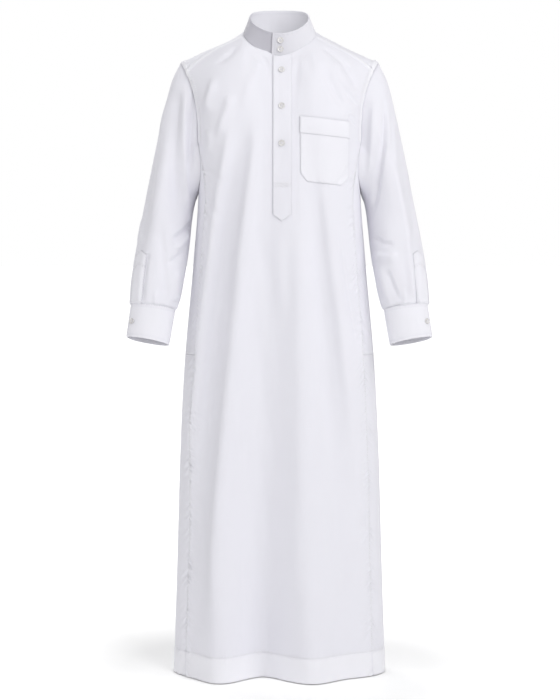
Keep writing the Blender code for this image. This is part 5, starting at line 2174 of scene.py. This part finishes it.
def crumple_group() -> NodeTree:
    """Build the small soft wrinkles left by wearing and pressing.

    Returns:
        A group that gives their height.
    """
    bench, source, result = new_group(
        "soft wrinkles",
        {"Place": ("NodeSocketVector", None), "Wrinkles per metre": ("NodeSocketFloat", 34.0)},
        {"Height": "NodeSocketFloat"})
    lay = bench.scaled("longer downwards", source.outputs["Place"], (1.0, 1.0, 0.42))
    broad, fine = (
        bench.noise(label, lay, bench.sum("MULTIPLY", "count",
                                          source.outputs["Wrinkles per metre"], part), 2.0, 0.4)
        for label, part in (("broad wrinkles", 1.0), ("fine wrinkles", 3.1)))
    bench.feed(result, "Height", bench.sum("MULTIPLY_ADD", "both", fine, 0.3, broad))
    return bench.tree


def stitch_group() -> NodeTree:
    """Build rows of stitches along the places where the seam attribute is low but not none.

    Returns:
        A group that gives the painted shade and whiteness there, and the stitches' height.
    """
    bench, source, result = new_group(
        "stitching",
        {"Cloth place": ("NodeSocketVector", None), "Depth": ("NodeSocketFloat", 0.0),
         "Stitches per metre": ("NodeSocketFloat", 180.0)},
        {"Dark": "NodeSocketFloat", "White": "NodeSocketFloat", "Height": "NodeSocketFloat"})
    depth = source.outputs["Depth"]
    place = bench.add("ShaderNodeSeparateXYZ", "across and along")
    bench.feed(place, 0, source.outputs["Cloth place"])
    run = bench.sum("ADD", "run of the row", place.outputs[0], place.outputs[1])
    turns = bench.sum("MULTIPLY", "stitch count", run, source.outputs["Stitches per metre"])
    wave = bench.sum("SINE", "stitch wave", bench.sum("MULTIPLY", "angle", turns, 2 * math.pi))
    thread = bench.sum("MULTIPLY_ADD", "thread", wave, 0.5, 0.5)
    edge = bench.share("folded edge", depth, 0.45, 0.75)
    row = bench.sum("SUBTRACT", "row", bench.share("near the row", depth, 0.02, 0.30), edge)
    row = bench.sum("MAXIMUM", "stitched", row, 0.0)
    white = bench.sum("MULTIPLY", "white thread", row, thread)
    # Painted shade in the gaps between stitches, and the solid painted shade of folded edges.
    gap = bench.sum("MULTIPLY_ADD", "gap", thread, -0.5, 0.5)
    edge = bench.sum("MULTIPLY", "edge shade", edge, depth)
    bench.feed(result, "Dark", bench.sum("MULTIPLY_ADD", "shade", row, gap, edge))
    bench.feed(result, "White", bench.sum("ADD", "whiter", white,
                                          bench.share("doubled cloth", depth, 0.0, -1.0)))
    bench.feed(result, "Height", white)
    return bench.tree


def figure_group() -> NodeTree:
    """Build the cloudy figure of pearly plastic.

    Returns:
        A group that gives its tone.
    """
    bench, source, result = new_group(
        "pearl figure",
        {"Place": ("NodeSocketVector", None), "Clouds per metre": ("NodeSocketFloat", 420.0)},
        {"Tone": "NodeSocketFloat"})
    bench.feed(result, "Tone", bench.noise("clouds", source.outputs["Place"],
                                           source.outputs["Clouds per metre"], 4.0, 1.6))
    return bench.tree


@dataclass(frozen=True)
class ClothFinish:
    """White cotton: its colour, weave and softness."""

    name: str
    light: Colour = (0.81, 0.806, 0.862, 1.0)
    shade: Colour = (0.79, 0.784, 0.84, 1.0)
    # The seam colour is the colour of the painted shade: seam shade goes towards it by
    # painted_shade_share, and the painted_shade attribute likewise.
    seam: Colour = (0.22, 0.21, 0.26, 1.0)
    painted_shade_share: float = 0.34
    threads: float = 2200.0
    weave_depth: float = 0.00006
    wrinkle_depth: float = 0.00055
    wrinkles: float = 34.0
    roughness: float = 0.62
    doubled: Colour = (0.905, 0.902, 0.935, 1.0)
    specular: float = 0.35
    sheen: float = 0.10
    sheen_roughness: float = 0.5
    stitch_depth: float = 0.0005

    def build(self, weave: NodeTree, wrinkle: NodeTree,
              stitching: NodeTree) -> Material:
        """Build the material.

        Args:
            weave: the plain weave group.
            wrinkle: the soft wrinkles group.
            stitching: the group that sews its rows.

        Returns:
            The material.
        """
        finish, bench = new_material(self.name, self.light)
        place = bench.add("ShaderNodeTexCoord", "place")
        threads = bench.group("weave", weave, Cloth_place=place.outputs["UV"],
                              Threads_per_metre=self.threads)
        soft = bench.group("wrinkles", wrinkle, Place=place.outputs["Object"],
                           Wrinkles_per_metre=self.wrinkles)
        depth = bench.add("ShaderNodeAttribute", "seam depth", attribute_name=SEAM_NAME)
        sewn = bench.group("stitching", stitching, Cloth_place=place.outputs["UV"],
                           Depth=depth.outputs["Fac"])
        under = bench.add("ShaderNodeAttribute", "painted_shade", attribute_name=PAINTED_SHADE_NAME)
        tone = bench.blend("tone", threads.outputs["Tone"], self.shade, self.light)
        tone = bench.blend("doubled tone", sewn.outputs["White"], tone, self.doubled)
        # Painted shade: seam shade and the painted_shade attribute darken the colour towards the
        # seam colour.
        darker = bench.sum("MULTIPLY", "seam share", sewn.outputs["Dark"], self.painted_shade_share)
        darker = bench.sum("MAXIMUM", "darkest", darker, under.outputs["Fac"])
        broad = bench.bump("wrinkle relief", self.wrinkle_depth, soft.outputs["Height"])
        pulled = bench.bump("stitch relief", self.stitch_depth, sewn.outputs["Height"], broad)
        fine = bench.bump("weave relief", self.weave_depth, threads.outputs["Height"], pulled)
        set_shader(bench, Base_Color=bench.blend("seam tone", darker, tone, self.seam),
                   Normal=fine, Roughness=self.roughness, Specular_IOR_Level=self.specular,
                   Sheen_Weight=self.sheen, Sheen_Roughness=self.sheen_roughness)
        return finish


@dataclass(frozen=True)
class PearlFinish:
    """Pearly grey-brown plastic of the buttons."""

    name: str = "pearl plastic"
    light: Colour = (0.87, 0.86, 0.86, 1.0)
    dark: Colour = (0.52, 0.50, 0.50, 1.0)
    dark_until: float = 0.32
    light_from: float = 0.68
    roughness: float = 0.26
    coat: float = 0.4
    coat_roughness: float = 0.12

    def build(self, figure: NodeTree) -> Material:
        """Build the material from the pearl figure group."""
        finish, bench = new_material(self.name, self.light)
        place = bench.add("ShaderNodeTexCoord", "place")
        clouds = bench.group("figure", figure, Place=place.outputs["Object"])
        ramp = bench.add("ShaderNodeValToRGB", "pearl tones")
        for stop, position, colour in zip(ramp.color_ramp.elements,
                                          (self.dark_until, self.light_from),
                                          (self.dark, self.light)):
            stop.position, stop.color = position, colour
        bench.feed(ramp, 0, clouds.outputs["Tone"])
        set_shader(bench, Base_Color=ramp.outputs[0], Roughness=self.roughness,
                   Coat_Weight=self.coat, Coat_Roughness=self.coat_roughness)
        return finish


# ------------------------------------------------------------------ studio
class Softness(Enum):
    """Sizes of the studio's soft lights, in metres."""

    KEY = 1.8
    FILL = 3.2
    TOP = 2.6


@dataclass(frozen=True)
class Lamp:
    """A soft lamp and where it points."""

    name: str
    place: tuple[float, float, float]
    watts: float
    softness: Softness

    def build(self, target: Vector) -> Piece:
        """Hang the lamp so that it faces the robe."""
        light = bpy.data.lights.new(self.name, "AREA")
        light.energy = self.watts
        light.size = self.softness.value
        lamp = linked(self.name, light)
        lamp.location = self.place
        lamp.rotation_euler = (target - Vector(self.place)).to_track_quat("-Z", "Y").to_euler()
        return lamp


@dataclass(frozen=True)
class Studio:
    """Pale floor, soft light and the camera."""

    floor_z: float = -1.3925
    floor_radius: float = 40.0
    floor_segments: int = 96
    eye: tuple[float, float, float] = (0.0011, -4.0, -0.4134)
    tilt_down: float = 3.8758661
    focal_pixels: float = 1839.07
    frame_height: int = 700
    sensor: float = 36.0
    far: float = 200.0
    middle: tuple[float, float, float] = (0.0, 0.0, -0.70)
    world: float = 1.0
    world_light: float = 0.36
    floor_glow: float = 0.95
    near_glow: float = 0.16
    glow_from: float = 0.35
    glow_to: float = 1.10
    floor_light: float = 0.16
    paper: Colour = (0.92, 0.92, 0.92, 1.0)
    paper_roughness: float = 0.9
    paper_specular: float = 0.1
    white: Colour = (1.0, 1.0, 1.0, 1.0)
    neck_watts: float = 0.043
    neck_softness: float = 0.02
    neck_place: tuple[float, float, float] = (-0.014, -0.012, -0.012)
    lamps: tuple[Lamp, ...] = (
        Lamp("key", (2.0, -3.4, 2.0), 66.0, Softness.KEY),
        Lamp("side", (3.4, -2.0, 2.0), 46.0, Softness.KEY),
        Lamp("top", (-0.7, -1.2, 2.8), 17.0, Softness.TOP),
        Lamp("fill", (-2.8, -3.4, 0.2), 9.0, Softness.FILL),
        Lamp("left", (-3.4, -1.5, 1.2), 21.0, Softness.KEY),
        Lamp("back key", (-2.0, 3.6, 2.2), 58.0, Softness.KEY),
        Lamp("back side", (2.2, 3.6, 1.2), 12.0, Softness.KEY),
    )

    def build(self) -> None:
        """Build the whole studio."""
        bpy.context.scene.view_settings.view_transform = "Standard"
        self.camera()
        self.floor()
        self.sky()
        for lamp in self.lamps:
            lamp.build(Vector(self.middle))
        self.neck_light()

    def neck_light(self) -> None:
        """Hang a tiny soft lamp in the neck, for the light that comes through the collar."""
        light = bpy.data.lights.new("neck", "POINT")
        light.energy = self.neck_watts
        light.shadow_soft_size = self.neck_softness
        lamp = linked("neck", light)
        lamp.location = self.neck_place
        lamp.visible_camera = False

    def camera(self) -> None:
        """Set the camera level with the chest, tipped slightly down."""
        data = bpy.data.cameras.new("camera")
        data.sensor_width = self.sensor
        data.lens = self.focal_pixels * self.sensor / self.frame_height
        data.clip_end = self.far
        eye = linked("camera", data)
        eye.location = self.eye
        eye.rotation_euler = (math.radians(90 - self.tilt_down), 0.0, 0.0)
        bpy.context.scene.camera = eye

    def floor(self) -> None:
        """Lay a wide pale floor."""
        bm = bmesh.new()
        bmesh.ops.create_circle(bm, cap_ends=True, segments=self.floor_segments,
                                radius=self.floor_radius)
        bmesh.ops.translate(bm, verts=bm.verts, vec=(0.0, 0.0, self.floor_z))
        floor = linked("floor", mesh_of(bm, "floor"))
        paper, bench = new_material("floor paper", self.paper)
        set_shader(bench, Base_Color=self.paper, Roughness=self.paper_roughness,
                   Specular_IOR_Level=self.paper_specular, Emission_Color=self.white)
        place = bench.add("ShaderNodeTexCoord", "place")
        flat = bench.scaled("on the floor", place.outputs["Object"], (1.0, 1.0, 0.0))
        away = bench.add("ShaderNodeVectorMath", "away", operation="LENGTH")
        bench.feed(away, 0, flat)
        glow = bench.add("ShaderNodeMapRange", "glow")
        for socket, value in (("Value", away.outputs["Value"]), ("From Min", self.glow_from),
                              ("From Max", self.glow_to), ("To Min", self.near_glow),
                              ("To Max", self.floor_glow)):
            bench.feed(glow, socket, value)
        self.seen_brighter(bench, paper.node_tree.nodes["Principled BSDF"], "Emission Strength",
                           self.floor_light, glow.outputs[0])
        floor.data.materials.append(paper)

    def sky(self) -> None:
        """Surround the studio with even white light, brighter to look at than to light with."""
        world = bpy.data.worlds.new("white room")
        world.use_nodes = True
        bench = NodeBench(world.node_tree)
        seen = world.node_tree.nodes["Background"]
        seen.inputs["Color"].default_value = self.white
        self.seen_brighter(bench, seen, "Strength", self.world_light, self.world)
        bpy.context.scene.world = world

    def seen_brighter(self, bench: NodeBench, node: Node, socket: str,
                      lit: float, seen: float | Socket) -> None:
        """Set a strength that differs between what the camera sees and what lights the robe.

        Args:
            bench: the node tree.
            node: the node whose strength is set.
            socket: the name of its strength.
            lit: the strength that lights the robe.
            seen: the strength that the camera sees.
        """
        path = bench.add("ShaderNodeLightPath", "who looks")
        level = bench.add("ShaderNodeMapRange", "level")
        bench.feed(level, "Value", path.outputs["Is Camera Ray"])
        bench.feed(level, "To Min", lit)
        bench.feed(level, "To Max", seen)
        bench.feed(node, socket, level.outputs[0])


# ------------------------------------------------------------------ the robe
# The crease tables below, paths and heights, were printed by a scratch script rather than typed
# here. The part's report.md tells how, under Disclosure.
FRONT_CREASES = (
    Crease(((-100, -168), (-114, -255), (-132, -360), (-149, -486), (-164, -613), (-179, -783),
            (-199, -953), (-216, -1125)), 12.5, 5, 14, 0.2, 0.35),
    Crease(((-47, -176), (-56, -255), (-68, -360), (-83, -486), (-96, -613), (-113, -783),
            (-129, -953), (-142, -1125), (-144, -1320)), 9.3, 6, 14, 0.2, 0.12),
    Crease(((-77, -465), (-83, -549), (-92, -634), (-98, -708)), 2, 2.5, 2.5),
    Crease(((-1, -415), (-1, -486), (3, -549), (10, -634)), 2.6, 7, 8),
    Crease(((43, -392), (43, -486), (43, -613), (43, -783), (46, -953), (48, -1125)), 5, 12, 15),
    Crease(((-37, -740), (-39, -889), (-42, -1061), (-44, -1211), (-46, -1320)), 4, 20, 17),
    Crease(((81, -276), (94, -360), (109, -486), (126, -613), (145, -783),
            (158, -932)), 5.5, 6, 11),
    Crease(((121, -371), (132, -465), (140, -528), (151, -592), (162, -655),
            (170, -681)), -2.6, 2.5, 2.5),
    Crease(((-35, -55), (-26, -76), (-18, -118)), -3.4, 3, 3, 0.1, 0.6),
    Crease(((-47, -60), (-55, -89), (-68, -130), (-79, -176)), 4.2, 5, 6, 0.1, 0.5),
    Crease(((28, -58), (26, -80)), -2.2, 2.5, 2.5, 0.1, 0.6),
    Crease(((39, -55), (37, -80), (35, -114), (32, -147)), -3.1, 3, 4, 0.1, 0.5),
    Crease(((55, -51), (64, -80), (76, -122)), -2.8, 5, 5, 0.1, 0.6),
    Crease(((-85, -26), (-104, -47), (-120, -62), (-141, -74)), -3.6, 3, 5),
    Crease(((85, -31), (106, -45), (137, -72), (152, -85)), -3.1, 4, 4),
    Crease(((-137, -93), (-144, -126), (-152, -155), (-148, -184)), 7, 5, 7),
    Crease(((-106, -134), (-110, -164), (-121, -197), (-129, -235)), 7, 5, 8),
    Crease(((-154, -209), (-148, -235), (-152, -268)), 4.2, 4, 5),
    Crease(((89, -64), (106, -105), (123, -139), (139, -168)), -5, 7, 5),
    Crease(((108, -60), (129, -97), (154, -139)), 4.2, 4, 7),
    Crease(((133, -72), (152, -99), (167, -130)), -3.6, 4, 4),
    Crease(((137, -120), (152, -143), (167, -164)), -4.2, 4, 3.5),
    Crease(((144, -180), (156, -191), (167, -207)), -3.4, 3.5, 3),
    Crease(((32, -68), (30, -151), (33, -255), (35, -371), (37, -423)), -1.8, 3, 4, 0.1, 0.2),
    Crease(((-159, -289), (-138, -310), (-108, -324)), -2.2, 7, 6),
    Crease(((-161, -343), (-142, -373), (-121, -406)), -2.4, 7, 6),
    Crease(((152, -276), (138, -306), (113, -335)), -2.5, 4, 4),
    Crease(((-143, -571), (-117, -617), (-109, -676)), 1.2, 8, 8),
    Crease(((-58, -402), (-37, -465), (-24, -549)), -1.2, 8, 8),
)
BACK_CREASES = (
    Crease(((-118, -90), (-128, -150), (-118, -230), (-104, -300)), 6.4, 9, 6),
    Crease(((124, -92), (130, -160), (116, -250), (110, -330)), 5.4, 6, 9),
    Crease(((-160, -150), (-146, -180), (-122, -205)), -4.8, 5, 5),
    Crease(((163, -140), (150, -176), (126, -196)), -5.4, 5, 5),
    Crease(((-166, -205), (-150, -232), (-128, -262)), -4.2, 5, 5),
    Crease(((167, -200), (148, -236), (130, -256)), -3.5, 5, 5),
    Crease(((-62, -30), (-70, -90), (-76, -150)), -3.2, 8, 7, 0.2, 0.6),
    Crease(((66, -34), (72, -100), (70, -160)), -2.9, 8, 8, 0.2, 0.6),
    Crease(((-96, -420), (-40, -462), (20, -470), (84, -440)), -4.8, 9, 12, 0.45, 0.45),
    Crease(((-70, -520), (0, -548), (60, -528)), -3.5, 9, 12, 0.45, 0.45),
    Crease(((-112, -330), (-118, -520), (-126, -760), (-134, -1010),
            (-142, -1320)), 8, 7, 12, 0.3, 0.15),
    Crease(((0, -380), (6, -560), (10, -800), (14, -1080), (16, -1330)), 6.4, 8, 11, 0.35, 0.15),
    Crease(((118, -340), (126, -560), (136, -820), (146, -1100)), 7, 9, 7, 0.3, 0.3),
    Crease(((58, -470), (68, -700), (78, -960)), -3.8, 8, 8),
    Crease(((-60, -480), (-56, -720), (-58, -1000)), -4.2, 9, 7),
)
RIGHT_SLEEVE_CREASES = (
    Crease(((-218, -113), (-220, -168), (-223, -232), (-221, -295), (-215, -359),
            (-204, -415)), -9.5, 12, 8, 0.15, 0.4),
    Crease(((-201, -105), (-203, -168), (-203, -232), (-202, -295), (-198, -355),
            (-193, -389)), 6.8, 6, 5),
    Crease(((-182, -109), (-184, -168), (-189, -242), (-189, -317)), -4.7, 4, 4),
    Crease(((-237, -113), (-246, -168), (-250, -232), (-255, -285), (-259, -338), (-266, -391),
            (-271, -445)), 6.1, 6, 12),
    Crease(((-253, -385), (-251, -434), (-247, -477), (-243, -530),
            (-241, -569)), -4.1, 8, 5.5, 0.35, 0.15),
    Crease(((-181, -393), (-198, -421), (-215, -436), (-230, -445)), -6.1, 4, 5),
    Crease(((-193, -427), (-209, -453), (-226, -466)), 4.1, 3.5, 4),
    Crease(((-200, -466), (-219, -483), (-239, -494)), -4.3, 4, 3.5),
    Crease(((-277, -470), (-284, -492), (-288, -530), (-293, -577)), -4.1, 4, 3, 0.2, 0.1),
    Crease(((-215, -504), (-220, -539), (-222, -577)), 4.1, 5, 5, 0.3, 0.1),
    Crease(((-265, -543), (-265, -564), (-263, -586)), 3, 4, 4, 0.5, 0.1),
    Crease(((-298, -391), (-300, -427), (-303, -457)), 2.7, 5, 5),
)
LEFT_SLEEVE_CREASES = (
    Crease(((222, -135), (225, -189), (221, -242), (215, -279), (210, -317), (204, -359),
            (193, -406)), -7.4, 4.5, 4, 0.2, 0.3),
    Crease(((201, -130), (199, -189), (195, -253), (189, -317)), 4.7, 5, 6),
    Crease(((227, -139), (231, -189), (231, -232), (227, -274)), 3.5, 4, 4),
    Crease(((244, -168), (246, -232), (251, -295)), 2.7, 3.5, 4),
    Crease(((240, -253), (249, -306), (259, -359), (268, -402), (274, -445), (277, -487),
            (282, -530), (286, -573)), 4.3, 5, 6, 0.2, 0.1),
    Crease(((196, -468), (217, -477), (234, -479), (254, -472)), 6.1, 8, 4),
    Crease(((228, -504), (239, -534), (258, -579)), -4.6, 4, 3),
    Crease(((281, -295), (287, -381), (292, -449)), -3, 5, 5),
    Crease(((198, -436), (221, -451), (247, -453)), -4.1, 4, 4),
    Crease(((215, -492), (220, -534), (233, -582)), 3.2, 5, 5),
    Crease(((292, -470), (290, -530), (293, -586)), -3.5, 3, 4, 0.2, 0.1),
    Crease(((262, -543), (265, -564), (267, -590)), 2.7, 4, 4, 0.5, 0.1),
)


def main() -> None:
    """Build the robe's pieces in order and set up the studio."""
    logging.basicConfig(level=logging.INFO, format="%(message)s")
    Studio().build()
    weave, wrinkle = weave_group(), crumple_group()
    cloth = ClothFinish("white cotton").build(weave, wrinkle, stitch_group())
    pearl = PearlFinish().build(figure_group())
    form = BodyForm()
    slow = (Unevenness(21, 0.0010, 0.05, 0.16), Unevenness(22, 0.0005, 0.02, 0.06))
    front = FrontPanel(form, cloth, creases=FRONT_CREASES, unevenness=slow)
    back = BackPanel(form, cloth, creases=BACK_CREASES,
                     unevenness=(Unevenness(31, 0.0010, 0.05, 0.16),))
    sides = SidePanels(form, cloth, unevenness=(Unevenness(41, 0.0008, 0.05, 0.14),),
                       beside=(front, back))
    collar = Collar(form, cloth, unevenness=(Unevenness(51, 0.0005, 0.03, 0.08),))
    front.build()
    back.build()
    sides.build()
    collar.build()
    FrontPlacket(front, collar, cloth).build()
    ChestPocket(front, cloth).build()
    for side, creases in (("left", LEFT_SLEEVE_CREASES), ("right", RIGHT_SLEEVE_CREASES)):
        sleeve = Sleeve(form, cloth, side, creases=creases,
                        unevenness=(Unevenness(61 + len(side), 0.0009, 0.04, 0.13),))
        sleeve.build()
        Cuff(cloth, side, unevenness=(Unevenness(71 + len(side), 0.0004, 0.03, 0.07),)).build()
        SleevePlacket(sleeve, cloth).build()
    wide, small = Button(pearl, cloth), Button(pearl, cloth, radius=0.0062)
    for number in (1, 2, 3):
        wide.place(f"placket_button_{number}", 0.0)
    for number in (1, 2):
        wide.place(f"collar_button_{number}", 90.0)
    for side in ("left", "right"):
        small.place(f"cuff_button_{side}", 0.0)


if __name__ == "__main__":
    main()
